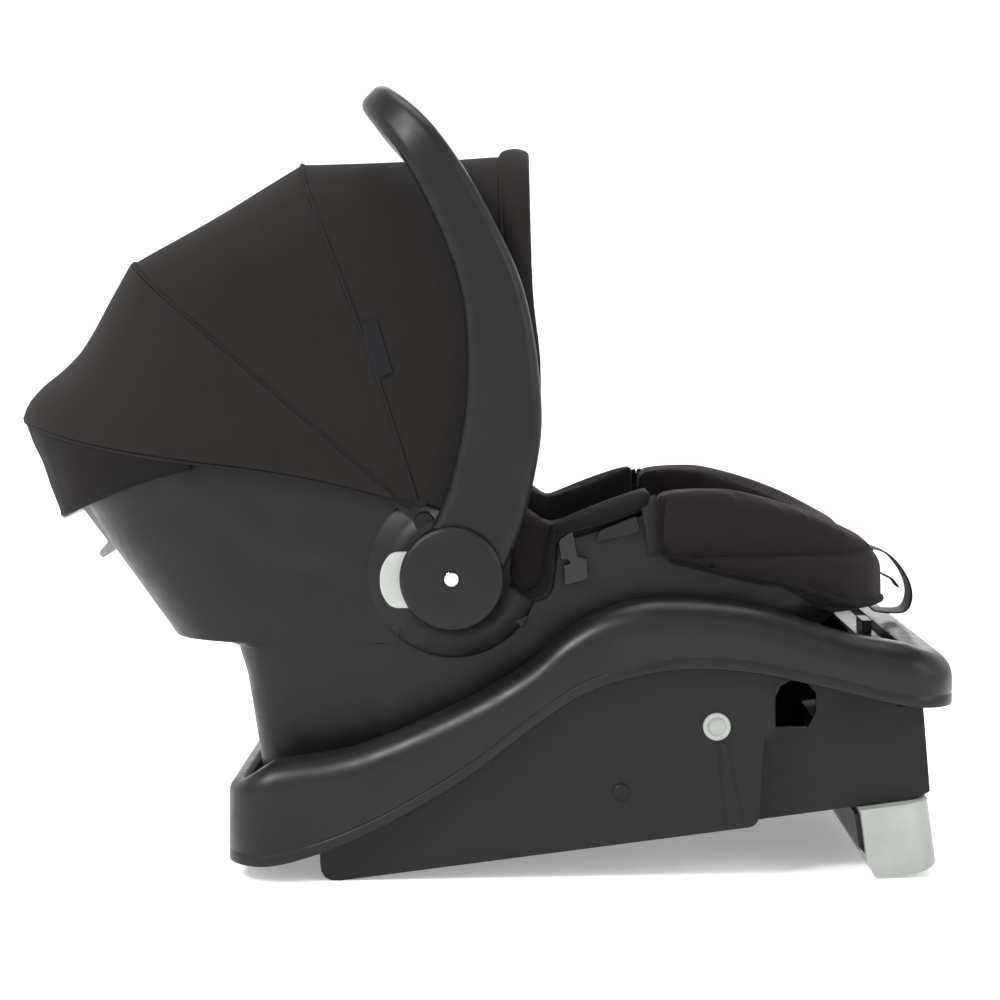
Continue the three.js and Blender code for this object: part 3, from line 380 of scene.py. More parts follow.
def apply_modifiers(piece):
    bpy.context.view_layer.update()
    graph = bpy.context.evaluated_depsgraph_get()
    mesh = bpy.data.meshes.new_from_object(piece.evaluated_get(graph))
    piece.modifiers.clear()
    piece.data = mesh
    return piece


class Line:
    """A smooth side line through [x, z] points, measured along its length."""

    def __init__(self, points, steps=400):
        p = np.array(points, float)
        count = len(p)
        samples = []
        for i in range(steps + 1):
            t = i / steps * (count - 1)
            k = min(int(t), count - 2)
            w = t - k
            p0 = p[max(k - 1, 0)]
            p1, p2 = p[k], p[k + 1]
            p3 = p[min(k + 2, count - 1)]
            v0, v1 = (p2 - p0) / 2, (p3 - p1) / 2
            samples.append(
                (2 * p1 - 2 * p2 + v0 + v1) * w**3
                + (-3 * p1 + 3 * p2 - 2 * v0 - v1) * w**2
                + v0 * w
                + p1
            )
        self.samples = np.array(samples)
        steps_long = np.linalg.norm(np.diff(self.samples, axis=0), axis=1)
        self.along = np.concatenate([[0], np.cumsum(steps_long)])
        self.length = self.along[-1]

    def point(self, s):
        return np.array([np.interp(s, self.along, self.samples[:, i]) for i in (0, 1)])

    def heading(self, s):
        d = self.point(min(s + 1, self.length)) - self.point(max(s - 1, 0))
        return d / max(np.linalg.norm(d), 1e-9)

    def height(self, x):
        order = np.argsort(self.samples[:, 0])
        return float(np.interp(x, self.samples[order, 0], self.samples[order, 1]))


def grid_faces(rows, columns, wrap_rows=False, wrap_columns=False):
    faces = []
    for i in range(rows if wrap_rows else rows - 1):
        for j in range(columns if wrap_columns else columns - 1):
            k, m = (i + 1) % rows, (j + 1) % columns
            faces.append((i * columns + j, i * columns + m, k * columns + m, k * columns + j))
    return faces


def loft(name, rings, material, body, closed=False, caps=True, **options):
    """A skin over rings of points, closed round each ring."""
    columns = len(rings[0])
    vertices = [p for ring in rings for p in ring]
    faces = grid_faces(len(rings), columns, closed, True)
    if caps and not closed:
        faces.append(tuple(range(columns)))
        faces.append(tuple(range(len(vertices) - columns, len(vertices))))
    return make(name, vertices, faces, material, body, **options)


def tube(name, path, radius, material, body, sides=8, closed=False, flat=1.0, **options):
    """A round cord or bead along a path of row-frame points."""
    points = [Vector(p) for p in path]
    rings = []
    count = len(points)
    reference = Vector((0, 0, 1))
    for i, p in enumerate(points):
        after = points[(i + 1) % count] if closed or i + 1 < count else p
        before = points[i - 1] if closed or i else p
        tangent = (after - before).normalized()
        if abs(tangent.dot(reference)) > 0.95:
            reference = Vector((1, 0, 0))
        side = tangent.cross(reference).normalized()
        up = side.cross(tangent).normalized()
        ring = []
        for j in range(sides):
            angle = 2 * math.pi * j / sides
            across, rise = radius * math.cos(angle), radius * flat * math.sin(angle)
            ring.append(p + side * across + up * rise)
        rings.append(ring)
    return loft(name, rings, material, body, closed=closed, smooth=80, **options)


def lathe(name, centre, profile, side, material, body, segments=64, **options):
    """A turned piece on a cross axis through centre (x, z), from (radius, |y|) points."""
    x, z = centre
    rings = []
    for j in range(segments):
        angle = 2 * math.pi * j / segments
        rings.append(
            [at(x + r * math.cos(angle), side * y, z + r * math.sin(angle)) for r, y in profile]
        )
    vertices = [p for ring in rings for p in ring]
    faces = grid_faces(segments, len(profile), True, True)
    piece = make(name, vertices, faces, material, None, **options)
    bm = bmesh.new()
    bm.from_mesh(piece.data)
    bmesh.ops.remove_doubles(bm, verts=bm.verts, dist=1e-6)
    bmesh.ops.recalc_face_normals(bm, faces=bm.faces)
    bm.to_mesh(piece.data)
    bm.free()
    soften(piece, 32)
    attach(piece, body)
    return piece


def rounded(corners, steps=6):
    """A side outline from (x, z, radius) corners, each rounded by that much."""
    out = []
    count = len(corners)
    for i, corner in enumerate(corners):
        p = Vector(corner[:2])
        r = corner[2] if len(corner) > 2 else 0
        if not r:
            out.append(tuple(p))
            continue
        before = Vector(corners[i - 1][:2]) - p
        after = Vector(corners[(i + 1) % count][:2]) - p
        a = p + before.normalized() * min(r, before.length * 0.49)
        b = p + after.normalized() * min(r, after.length * 0.49)
        for j in range(steps + 1):
            t = j / steps
            out.append(tuple(a * (1 - t) ** 2 + p * 2 * t * (1 - t) + b * t * t))
    return out


def plate(name, outline, y0, y1, material, body, edge=0.0006, **options):
    """A flat piece of a side outline between two y's, with softened edges."""
    count = len(outline)
    vertices = [at(x, y, z) for y in (y0, y1) for x, z in outline]
    faces = [tuple(range(count)), tuple(range(count, 2 * count))]
    faces += [(j, (j + 1) % count, count + (j + 1) % count, count + j) for j in range(count)]
    piece = make(name, vertices, faces, material, body, **options)
    if edge:
        bevel(piece, edge, 3)
    return piece


def side_plate(name, outline, side, inner, outer, *finish_as, **options):
    """A plate on one side of the seat, between two distances from its middle plane."""
    return plate(name, outline, *sorted((side * inner, side * outer)), *finish_as, **options)


def copy_node(name, new_name):
    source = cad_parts[name]
    piece = bpy.data.objects.new(new_name, source.data.copy())
    piece.data.transform(source.matrix_world)
    scene.collection.objects.link(piece)
    return piece


def skin(name, points, thickness, material, body, inward, **options):
    """A cloth sheet over a grid of row-frame points, with its hidden face on the inside."""
    rows, columns = len(points), len(points[0])
    flat = [p for row in points for p in row]
    uv = []
    for row in points:
        run = 0
        for j, p in enumerate(row):
            run += (p - row[j - 1]).length if j else 0
            uv.append([run, 0])
    for j in range(columns):
        run = 0
        for i in range(rows):
            run += (points[i][j] - points[i - 1][j]).length if i else 0
            uv[i * columns + j][1] = run
    piece = make(name, flat, grid_faces(rows, columns), material, None, uv=uv, **options)
    mesh = piece.data
    middle = mesh.polygons[len(mesh.polygons) // 2]
    if middle.normal.dot(Vector(inward) - middle.center) > 0:
        mesh.flip_normals()
    area = sum(polygon.area for polygon in mesh.polygons)
    solid = piece.modifiers.new("cloth", "SOLIDIFY")
    solid.thickness = thickness
    solid.offset = -1
    apply_modifiers(piece)
    soften(piece, 60)
    if body:
        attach(piece, body)
    return piece, area


# ---- side lines and plan shapes of the seat ------------------------------------------

RIM_LINE = Line(
    [(-400, 352), (-330, 347), (-230, 332), (-130, 312), (-60, 296), (-15, 282), (20, 262),
     (45, 257), (80, 266), (118, 279), (160, 280), (215, 262), (262, 232), (300, 206)]
)
PAN_LINE = Line(
    [(-420, 381), (-380, 352), (-235, 240), (-110, 146), (-60, 122), (0, 112), (60, 114),
     (120, 135), (200, 178), (266, 216), (320, 250)]
)
BASE_TOP = Line(
    [(-205, 76), (-177, 91), (-110, 103), (-36, 134), (17, 164), (50, 192), (85, 210),
     (129, 217), (193, 211), (258, 191), (297, 184), (341, 176)]
)
BASE_LOW = Line(
    [(-205, 13), (-162, 16), (-99, 39), (-29, 79), (28, 122), (70, 148), (129, 163),
     (183, 162), (237, 152), (301, 137), (341, 134)]
)
HUB = (-36, 233)
CANOPY_PIVOT = (-58, 272)

# height, head end, feet end, half width, plan corner radii at head and feet
SHELL_SLICES = np.array(
    [(74, -187, 112, 150, 30, 30), (100, -191, 132, 153, 32, 32), (126, -195, 152, 156, 34, 40),
     (150, -199, 202, 158, 36, 50), (172, -206, 236, 160, 40, 62), (176, -218, 241, 160, 44, 64),
     (178, -259, 244, 160, 70, 66), (205, -279, 280, 162, 76, 84), (250, -313, 289, 163, 84, 88),
     (360, -390, 292, 163, 138, 90)]
)


def slice_at(z):
    return [float(np.interp(z, SHELL_SLICES[:, 0], SHELL_SLICES[:, i])) for i in range(1, 6)]


def plan_points(z, inset=0.0, corner=9, side=34, end=10):
    """The shell's plan outline at a height, as (x, y, outward x, outward y)."""
    head, feet, half, r_head, r_feet = slice_at(z)
    out = []

    def turn(cx, cy, r, start):
        for i in range(corner + 1):
            a = math.radians(start + 90 * i / corner)
            reach = max(r - inset, 1)
            nx, ny = math.cos(a), math.sin(a)
            out.append((cx + reach * nx, cy + reach * ny, nx, ny))

    def straight(x0, x1, y0, y1, nx, ny, stops):
        for i in range(1, stops):
            t = i / stops
            out.append((x0 + (x1 - x0) * t, y0 + (y1 - y0) * t, nx, ny))

    h, f = head + r_head, feet - r_feet
    turn(f, half - r_feet, r_feet, 0)
    straight(f, h, half - inset, half - inset, 0, 1, side)
    turn(h, half - r_head, r_head, 90)
    straight(head + inset, head + inset, half - r_head, r_head - half, -1, 0, end)
    turn(h, r_head - half, r_head, 180)
    straight(h, f, inset - half, inset - half, 0, -1, side)
    turn(f, r_feet - half, r_feet, 270)
    straight(feet - inset, feet - inset, r_feet - half, half - r_feet, 1, 0, end)
    return out


def rim_height(column, inset=0.0):
    """The height at which one plan column meets the rim line."""
    z = 280.0
    for _ in range(12):
        z = RIM_LINE.height(plan_points(z, inset)[column][0])
    return z


# ---- carrier shell -------------------------------------------------------------------


def smoothstep(low, high, value):
    t = min(max((value - low) / (high - low), 0), 1)
    return t * t * (3 - 2 * t)


def carrier_shell():
    columns = len(plan_points(200))
    tops = [rim_height(c) for c in range(columns)]
    fixed = [74, 76, 84, 100, 113, 126, 138, 150, 161, 169, 172, 174.5, 176, 177, 178, 179.5]
    upper = 30
    vertices = []
    for row in range(len(fixed) + upper):
        for c in range(columns):
            if row < len(fixed):
                z = fixed[row]
            else:
                t = (row - len(fixed) + 1) / upper
                z = fixed[-1] + (tops[c] - fixed[-1]) * t
            x, y, nx, ny = plan_points(z)[c]
            lift = shell_relief(x, z) if abs(ny) > 0.9 else 0
            vertices.append(at(x + nx * lift, y + ny * lift, z))
    rows = len(fixed) + upper
    piece = make(
        "carrier_shell_skin", vertices, grid_faces(rows, columns, False, True),
        "shell_plastic", None, hides=("carrier_shell",), smooth=50,
    )
    solid = piece.modifiers.new("wall", "SOLIDIFY")
    solid.thickness = 0.0042
    solid.offset = -1
    apply_modifiers(piece)
    soften(piece, 40)
    bevel(piece, 0.0012, 3, 50)
    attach(piece, "carrier")


def shell_relief(x, z):
    """How far the side of the shell stands out: the raised lower panel and its groove."""
    border = np.interp(x, [-262, -170, -122, -98, -84], [300, 240, 234, 206, 60])
    panel = smoothstep(0, 5, z - border) if x < -84 else 1.0
    groove = math.exp(-(((z - (152 + (x + 180) * 0.09)) / 1.6) ** 2)) if -190 < x < -100 else 0
    return 1.8 * panel - 1.8 - 1.2 * groove


carrier_shell()


def seat_pan():
    """The seat pan under the cushions, seen only from below."""
    rows, columns = 48, 12
    vertices = []
    for level in (0, -5):
        for i in range(rows):
            x = -372 + (278 + 372) * i / (rows - 1)
            z = PAN_LINE.height(x)
            half = slice_at(max(z, 74))[2] - 5
            head, feet, _, r_head, r_feet = slice_at(max(z, 74))
            for gap, r in ((x - head - 5, r_head), (feet - 5 - x, r_feet)):
                if gap < r:
                    half -= r - math.sqrt(max(r * r - (r - max(gap, 0)) ** 2, 0))
            for j in range(columns):
                vertices.append(at(x, half * (2 * j / (columns - 1) - 1), z + level))
    faces = grid_faces(rows, columns)
    count = rows * columns
    lower = [tuple(reversed([v + count for v in face])) for face in faces]
    rim = list(range(columns))
    rim += [i * columns + columns - 1 for i in range(1, rows)]
    rim += [count - 1 - i for i in range(1, columns)]
    rim += [i * columns for i in range(rows - 2, 0, -1)]
    sides = [(a, b, b + count, a + count) for a, b in zip(rim, rim[1:] + rim[:1])]
    make("seat_pan", vertices, faces + lower + sides, "shell_plastic", "carrier")


seat_pan()

for side_name, side in SIDES:
    lathe(
        f"hub_boss_{side_name}", HUB,
        [(20, 160), (66, 160), (66, 163.6), (63, 166), (52, 168.6), (44, 172), (41, 176),
         (37, 179.5), (20, 180)],
        side, "shell_plastic", "carrier",
    )

# ---- base ----------------------------------------------------------------------------

BASE_HALF, BASE_HEAD_X, BASE_FEET_X = 205, -208, 345
RIM_DEPTH, RIM_DEPTH_HEAD = 33, 15


def base_loop(stops=60, corner_stops=10, corner=38):
    loop = []
    head_x, feet_x = BASE_HEAD_X + corner, BASE_FEET_X - corner

    def turn(cx, cy, start):
        for i in range(1, corner_stops):
            a = math.radians(start + 90 * i / corner_stops)
            nx, ny = math.cos(a), math.sin(a)
            loop.append((cx + corner * nx, cy + corner * ny, nx, ny))

    for i in range(stops + 1):
        loop.append((feet_x + (head_x - feet_x) * i / stops, BASE_HALF, 0, 1))
    turn(head_x, BASE_HALF - corner, 90)
    for i in range(13):
        loop.append((BASE_HEAD_X, (BASE_HALF - corner) * (1 - i / 6), -1, 0))
    turn(head_x, corner - BASE_HALF, 180)
    for i in range(stops, -1, -1):
        loop.append((feet_x + (head_x - feet_x) * i / stops, -BASE_HALF, 0, -1))
    turn(feet_x, corner - BASE_HALF, 270)
    for i in range(13):
        loop.append((BASE_FEET_X, (BASE_HALF - corner) * (i / 6 - 1), 1, 0))
    turn(feet_x, BASE_HALF - corner, 0)
    return loop


def base_rim():
    rings = []
    wall = 4
    for x, y, nx, ny in base_loop():
        top, low = BASE_TOP.height(x), BASE_LOW.height(x)
        depth = RIM_DEPTH - (RIM_DEPTH - RIM_DEPTH_HEAD) * nx * nx if nx < 0 else RIM_DEPTH
        skirt = max(top - 45, low, 42)
        r = depth * 0.66
        section = [(-wall, low), (-1.2, low), (-0.2, low + 0.6), (0, low + 1.8), (0, low + 8)]
        section += [(-0.4, low + 8.5), (-0.4, low + 9.5), (0, low + 10)]
        for i in range(9):
            a = math.radians(90 * i / 8)
            section.append((-r * (1 - math.cos(a)), top - r + r * math.sin(a)))
        section += [(3 - depth, top - 1.2), (0.8 - depth, top - 2.6), (-depth, top - 6)]
        section += [(-depth, skirt + 1), (1 - depth, skirt), (wall - depth, skirt)]
        section += [(wall - depth, top - wall - 5), (-max(r - 1, wall + 1), top - wall)]
        section += [(-max(0.55 * r, wall + 0.6), top - wall - 0.25 * r), (-wall, top - r - 1)]
        rings.append([at(x + nx * o, y + ny * o, z) for o, z in section])
    loft(
        "base_rim_moulding", rings, "base_plastic", "base", closed=True,
        hides=("base_rim",), smooth=40,
    )
    inner = BASE_HALF - RIM_DEPTH + 2
    deck = [(293, 163), (311, 163), (311, 167), (293, 167)]
    plate("base_deck", deck, -inner, inner, "base_plastic", "base", 0.001)


base_rim()


def dress(node, material, width=0.0008, segments=2, angle=35):
    """A CAD node that keeps its shape gets its material and softened edges."""
    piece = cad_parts[node]
    piece.data.materials.clear()
    piece.data.materials.append(MATERIALS[material])
    piece.data.polygons.foreach_set("use_smooth", [True] * len(piece.data.polygons))
    bevel(piece, width, segments, angle)


dress("base_tray", "tray_plastic", 0.0012, 3)
for node, material, width in (
    ("foot_lock_button", "grey_plastic", 0.0008), ("latch_rod_front", "steel", 0.0005),
    ("latch_rod_rear", "steel", 0.0005), ("anchor_rod", "steel", 0.0005),
    ("level_bezel", "black_plastic", 0.0006), ("level_window", "window", 0.0004),
    ("lock_gear_left", "pale_plastic", 0.0005), ("lock_gear_right", "pale_plastic", 0.0005),
    ("canopy_stud_left", "black_plastic", 0.0005), ("canopy_stud_right", "black_plastic", 0.0005),
    ("front_hooks", "steel", 0.0008), ("latch_jaw", "steel", 0.0008),
    ("release_lever", "grey_plastic", 0.0012),
    ("buckle_body", "black_plastic", 0.0014), ("buckle_button", "red_plastic", 0.001),
    ("buckle_tongue_left", "steel", 0.0006), ("buckle_tongue_right", "steel", 0.0006),
    ("chest_clip", "black_plastic", 0.0016), ("adjuster_housing", "black_plastic", 0.0006),
    ("adjuster_button", "grey_plastic", 0.0008), ("canopy_bow_rear", "black_plastic", 0.0004),
    ("canopy_bow_mid", "black_plastic", 0.0004), ("canopy_bow_front", "black_plastic", 0.0004),
):
    dress(node, material, width)

ANCHOR = (164, 118.5)
for side_name, side in SIDES:
    lathe(
        f"anchor_cap_{side_name}_face", ANCHOR,
        [(0, 188.4), (10.4, 188.4), (10.4, 190.6), (9.8, 191.3), (8.6, 191.5), (7.2, 191.2),
         (6.8, 189.8), (0, 189.6)],
        side, "grey_plastic", "base", hides=(f"anchor_cap_{side_name}",),
    )

# ---- handle --------------------------------------------------------------------------

HUB_INNER, HUB_SPLIT = 182, 208
HANDLE_LINE = Line(
    [HUB, (-16, 272), (-5, 310), (2, 352), (1, 400), (-6, 447), (-22, 490), (-43, 531),
     (-67, 567), (-93, 593)]
)
HANDLE_WIDTH = [(0, 64), (0.3, 60), (0.5, 50), (0.65, 42), (0.85, 35), (1, 27)]
HANDLE_MID = (HUB_INNER + HUB_SPLIT) / 2


def arch(line, half, corner, start=0.0, legs=40, turn=12, across=14):
    """A U-shaped route up a side line, across and down again: (point, heading, share)."""
    length = line.length
    route = []
    for i in range(legs):
        route.append((start + (length - corner - start) * i / legs, half))
    for i in range(turn + 1):
        a = math.pi / 2 * i / turn
        route.append((length - corner + corner * math.sin(a), half - corner * (1 - math.cos(a))))
    flat = half - corner
    middle = [(length, flat * (1 - 2 * i / across)) for i in range(1, across)]
    route = route + middle + [(s, -y) for s, y in reversed(route)]
    stops = []
    for s, y in route:
        x, z = line.point(s)
        stops.append((np.array([x, y, z]), line.heading(s), s / line.length))
    return stops


def bar_along(name, stops, section, material, body, **options):
    """A bar of a section along an arch; the section is (across in side view, outwards)."""
    rings = []
    for i, (p, heading, share) in enumerate(stops):
        before, after = stops[max(i - 1, 0)][0], stops[min(i + 1, len(stops) - 1)][0]
        tangent = after - before
        tangent /= np.linalg.norm(tangent)
        wide = np.array([heading[1], 0, -heading[0]])
        out = np.cross(tangent, wide)
        out /= np.linalg.norm(out)
        rings.append([at(*(p + wide * a + out * b)) for a, b in section(share)])
    return loft(name, rings, material, body, **options)


def handle_section(share):
    w = float(np.interp(share, *zip(*HANDLE_WIDTH))) / 2
    t, wall, r = 12, 4, 9
    out = [(-w + 1, -t), (-w + 0.3, -t + 1)]
    for i in range(9):
        a = math.radians(90 * i / 8)
        out.append((-w + r - r * math.cos(a), t - r + r * math.sin(a)))
    for i in range(9):
        a = math.radians(90 * i / 8)
        out.append((w - r + r * math.sin(a), t - r + r * math.cos(a)))
    out.append((w - 0.3, -t + 1))
    out += [(w - 1, -t), (w - 2, -t - 0.6), (w - wall + 1, -t - 0.6), (w - wall, -t)]
    out += [(w - wall, t - wall - 3), (w - wall - 3, t - wall), (wall + 3 - w, t - wall)]
    out += [(wall - w, t - wall - 3), (wall - w, -t)]
    out += [(wall - w - 1, -t - 0.6), (-w + 2, -t - 0.6)]
    return out


handle_stops = arch(HANDLE_LINE, HANDLE_MID, 62)
bar_along(
    "handle_bar", handle_stops, handle_section, "shell_plastic", "handle",
    hides=("handle_frame",), smooth=42,
)


def grip_section(_):
    w = 9.1
    lip = [(w - 2, -14.4), (3, -15), (-3, -15), (2 - w, -14.4)]
    return [(-w, -12), (-w, 7.4), (w, 7.4), (w, -12), *lip]


grip_stops = [s for s in handle_stops if abs(s[0][1]) < HANDLE_MID - 61]
bar_along(
    "handle_grip_pad", grip_stops, grip_section, "black_plastic", "handle",
    hides=("handle_grip",), smooth=42,
)

for side_name, side in SIDES:
    lathe(
        f"handle_drum_{side_name}", HUB,
        [(5, 183), (36, 183), (38.6, 184), (39, 186), (39, 204), (38.4, 206), (37, 207.6),
         (5, 207.6)],
        side, "shell_plastic", "handle",
    )
    lathe(
        f"hub_cover_{side_name}_face", HUB,
        [(4.4, 208.4), (39, 208.4), (39, 212), (38.7, 213.6), (38, 214.8), (36.8, 215.7),
         (35, 216.3), (32, 216.6), (20, 216.9), (9.4, 217), (6.6, 216.9), (6.1, 216.2),
         (4.4, 216.2)],
        side, "shell_plastic", "handle", hides=(f"hub_cover_{side_name}",), segments=96,
    )
    lathe(
        f"pivot_rivet_{side_name}_head", HUB,
        [(0, 148), (7.4, 148), (8, 148.8), (8, 151), (4, 151.6), (4, 217.3), (5.3, 217.3),
         (5.2, 217.9), (4.4, 218.4), (2.4, 218.6), (0, 218.6)],
        side, "chrome", "carrier", hides=(f"pivot_rivet_{side_name}",),
    )
    tab = rounded([(-53, 210, 1), (-82, 210, 6), (-90, 222, 7), (-90, 240, 7), (-82, 252, 6),
                   (-53, 252, 1)])
    side_plate(
        f"release_tab_{side_name}_face", tab, side, 198, 205, "pale_plastic",
        f"handle_tab_{side_name}", 0.0014, hides=(f"release_tab_{side_name}",),
    )

# ---- canopy --------------------------------------------------------------------------


def from_pivot(points):
    return Line([(CANOPY_PIVOT[0] + x, CANOPY_PIVOT[1] + z) for x, z in points])


CANOPY_HALF, HEM_START, CANOPY_CORNER, HOOD_CORNER = 173.2, 18, 62, 150
BOW_REAR = from_pivot([(0, 0), (-115, 99), (-230, 199)])
BOW_MID = from_pivot([(0, 0), (-42, 130), (-98, 276)])
HOOD_EDGE = from_pivot(
    [(8, 6), (-33, 19), (-70, 28), (-103, 35), (-143, 41), (-184, 46), (-262, 58), (-333, 74)]
)
FRONT_EDGE = from_pivot([(4, -4), (34, 30), (58, 60), (67, 100), (66, 150), (60, 200), (57, 282)])
ELASTIC_TOP = from_pivot([(-180, 44.5), (-210, 49.5), (-262, 57), (-331, 72)])
ELASTIC_HEM = from_pivot([(-180, 42), (-210, 34), (-250, 19), (-303, -4)])
VISOR_LINE = from_pivot([(62, 38), (75, 80), (77, 120), (71, 180), (68, 283)])
INSIDE = at(CANOPY_PIVOT[0] - 70, 0, CANOPY_PIVOT[1] + 80)


def hood_panel(name, low, high, sag, hides, corner_low=CANOPY_CORNER,
               corner_high=CANOPY_CORNER, start=HEM_START, profile=None):
    """One cloth panel between two side lines."""
    edge_low = arch(low, CANOPY_HALF, corner_low, start, legs=26, across=20)
    edge_high = arch(high, CANOPY_HALF, corner_high, start, legs=26, across=20)
    rows = 30
    points = []
    for j in range(rows + 1):
        share = j / rows
        depth = sag * math.sin(math.pi * share)
        if profile is not None:
            depth = profile.height(share)
        row = []
        for (a, _, _), (b, _, _) in zip(edge_low, edge_high):
            span = np.linalg.norm(b - a)
            t = (1.6 + share * (span - 3.2)) / span
            p = a + (b - a) * t
            inward = np.array([CANOPY_PIVOT[0] - 70 - p[0], -p[1], CANOPY_PIVOT[1] + 80 - p[2]])
            inward /= np.linalg.norm(inward)
            slack = min(2 * (1 - abs(p[1]) / CANOPY_HALF), 1)
            ripple = noise.noise(Vector((p[0] * 0.02, p[1] * 0.02, p[2] * 0.02 + 3)))
            pucker = math.exp(-min(share, 1 - share) * 14) * noise.noise(Vector(p * 0.11))
            pull = depth * max(slack, 0) + 1.2 * ripple * slack + 0.8 * pucker * slack
            row.append(at(*(p + inward * pull)))
        points.append(row)
    piece, area = skin(name, points, 0.0022, "canopy_fabric", None, INSIDE, hides=hides)
    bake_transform(piece)
    return piece


hood_panel(
    "canopy_cloth_front", BOW_MID, FRONT_EDGE, 2,
    ("canopy_panel_front",),
)
hood_panel(
    "canopy_cloth_mid", BOW_REAR, BOW_MID, 3,
    ("canopy_panel_mid",),
)
hood_panel(
    "canopy_cloth_rear", HOOD_EDGE, BOW_REAR, 5, ("canopy_panel_rear",),
    corner_low=HOOD_CORNER, profile=Line(
        [(0, 0), (0.06, -2.6), (0.11, -3.4), (0.2, -1), (0.31, 5), (0.45, 8.6), (0.6, 8.6),
         (0.79, 5), (1, 0)]
    ),
)


def seam(name, line, corner, body, radius=1.3):
    """The piped seam along one edge of a canopy panel."""
    path = [at(*p) for p, _, _ in arch(line, CANOPY_HALF + 0.2, corner, HEM_START, legs=30)]
    tube(name, path, radius / 1000, "canopy_fabric", body)


seam("canopy_seam_rear", BOW_REAR, CANOPY_CORNER, "canopy_rear")
seam("canopy_seam_mid", BOW_MID, CANOPY_CORNER, "canopy_mid")
seam("canopy_seam_front", FRONT_EDGE, CANOPY_CORNER, "canopy_front")
seam("canopy_seam_rim", HOOD_EDGE, HOOD_CORNER, "carrier", 1.5)


def elastic_back():
    """The gathered back panel with its elastic hem."""
    top = arch(ELASTIC_TOP, CANOPY_HALF, HOOD_CORNER, 2, legs=26, turn=26, across=40)
    hem = arch(ELASTIC_HEM, CANOPY_HALF, HOOD_CORNER, 2, legs=26, turn=26, across=40)
    rows = 16
    points = []
    for j in range(rows + 1):
        t = j / rows
        row = []
        run = 0.0
        for i, ((a, _, _), (b, _, _)) in enumerate(zip(top, hem)):
            p = a + (b - a) * t
            if i:
                run += np.linalg.norm(p - previous)
            previous = p
            inward = np.array([-130 - p[0], -p[1], 330 - p[2]])
            inward /= np.linalg.norm(inward)
            gather = math.sin(run * 0.42 + 2.2 * noise.noise(Vector(p * 0.02)))
            depth = (0.1 + 0.5 * t) * gather + 1.8 * noise.noise(Vector(p * 0.03))
            row.append(at(*(p + inward * (1.5 + depth))))
        points.append(row)
    piece, area = skin(
        "canopy_back_cloth", points, 0.002, "stretch", "carrier", INSIDE,
        hides=("canopy_back_elastic",),
    )
    tube("canopy_back_hem", points[rows], 0.0027, "binding", "carrier", sides=10)


elastic_back()


def visor():
    stops = arch(VISOR_LINE, CANOPY_HALF - 5, CANOPY_CORNER - 4, legs=40)
    count = 20

    def oval(share):
        out = []
        for i in range(count):
            a = 2 * math.pi * i / count
            wave = 0.3 * noise.noise(Vector((share * 30, math.cos(a), math.sin(a))))
            out.append(((11.6 + wave) * math.cos(a), (5.5 + wave) * math.sin(a)))
        return out

    piece = bar_along(
        "canopy_visor_roll", stops, oval, "canopy_fabric", "canopy_front",
        hides=("canopy_visor",), smooth=80,
    )


visor()

tag = rounded([(-106, 423, 1), (-94, 427, 1), (-82, 386, 1), (-94, 382, 1)])
plate(
    "canopy_tag_blank", tag, -CANOPY_HALF - 1.8, -CANOPY_HALF - 0.6, "tag_fabric", "canopy_mid",
    0.0003, hides=("canopy_tag",),
)

# ---- foam liner and foot -------------------------------------------------------------


def foam_liner():
    """The liner follows the shell's own head corners, a wall's width inside them."""
    piece = copy_node("foam_liner", "foam_liner_body")
    for vertex in piece.data.vertices:
        x, y, z = vertex.co.x * 1000 - DATUM_X, vertex.co.y * 1000, vertex.co.z * 1000
        head, _, half, r, _ = slice_at(z)
        reach = max(abs(y) - (half - r), 0)
        least = head + r - math.sqrt(max(r * r - reach * reach, 0)) + 9
        if x < least:
            vertex.co.x = (least + DATUM_X) / 1000
    finish(piece, "foam", "carrier", ("foam_liner",))
    bevel(piece, 0.0015, 2)


foam_liner()

FLOOR_TILT = math.radians(7.6)
FOOT_AT = (297, 59.5)
SHOE_AHEAD = 4  # the shoe stands further towards the feet than its neck


def on_floor(x, z):
    """Side-view point from the base floor's own x and z."""
    c, s = math.cos(FLOOR_TILT), math.sin(FLOOR_TILT)
    return FOOT_AT[0] + x * c - z * s, FOOT_AT[1] + x * s + z * c


def recline_foot():
    """A long shoe with rounded ends, and the neck that slides through the base floor."""
    side_view = rounded([(-27, -4, 1), (-27, -46.5, 1), (-19, -57.5, 3), (24, -57.5, 3),
                         (27, -54.5, 2), (27, -4, 1)], 3)
    half, corner = 178, 20
    stops = [0.0, 100.0, 158.0, 163.0, 168.0, 172.0, 175.0, 177.2, 178.0]
    rings = []
    for y in [-stop for stop in reversed(stops[1:])] + stops:
        over = max(abs(y) - (half - corner), 0)
        back = corner - math.sqrt(corner * corner - over * over)
        ring = []
        for x, z in side_view:
            side_x, side_z = on_floor(x + SHOE_AHEAD - back * (x + 27) / 54, z)
            ring.append(at(side_x, y, side_z))
        rings.append(ring)
    shoe = loft("recline_foot_shoe", rings, "grey_plastic", "foot", hides=("recline_foot",))
    bevel(shoe, 0.0012, 3, 50)
    neck = [on_floor(x, z) for x, z in ((-26, -6), (26, -6), (26, 29), (-26, 29))]
    plate("recline_foot_neck", neck, -149, 149, "grey_plastic", "foot", 0.001)
    strip = [on_floor(x, z) for x, z in ((-27, -8), (-27, -34), (-19.2, -44), (-19.2, -8))]
    plate("recline_foot_back", strip, -170, 170, "black_plastic", "foot", 0.0006,
          slot="grey_plastic")


recline_foot()

# ---- pads ----------------------------------------------------------------------------


SIM_FRAMES = 20


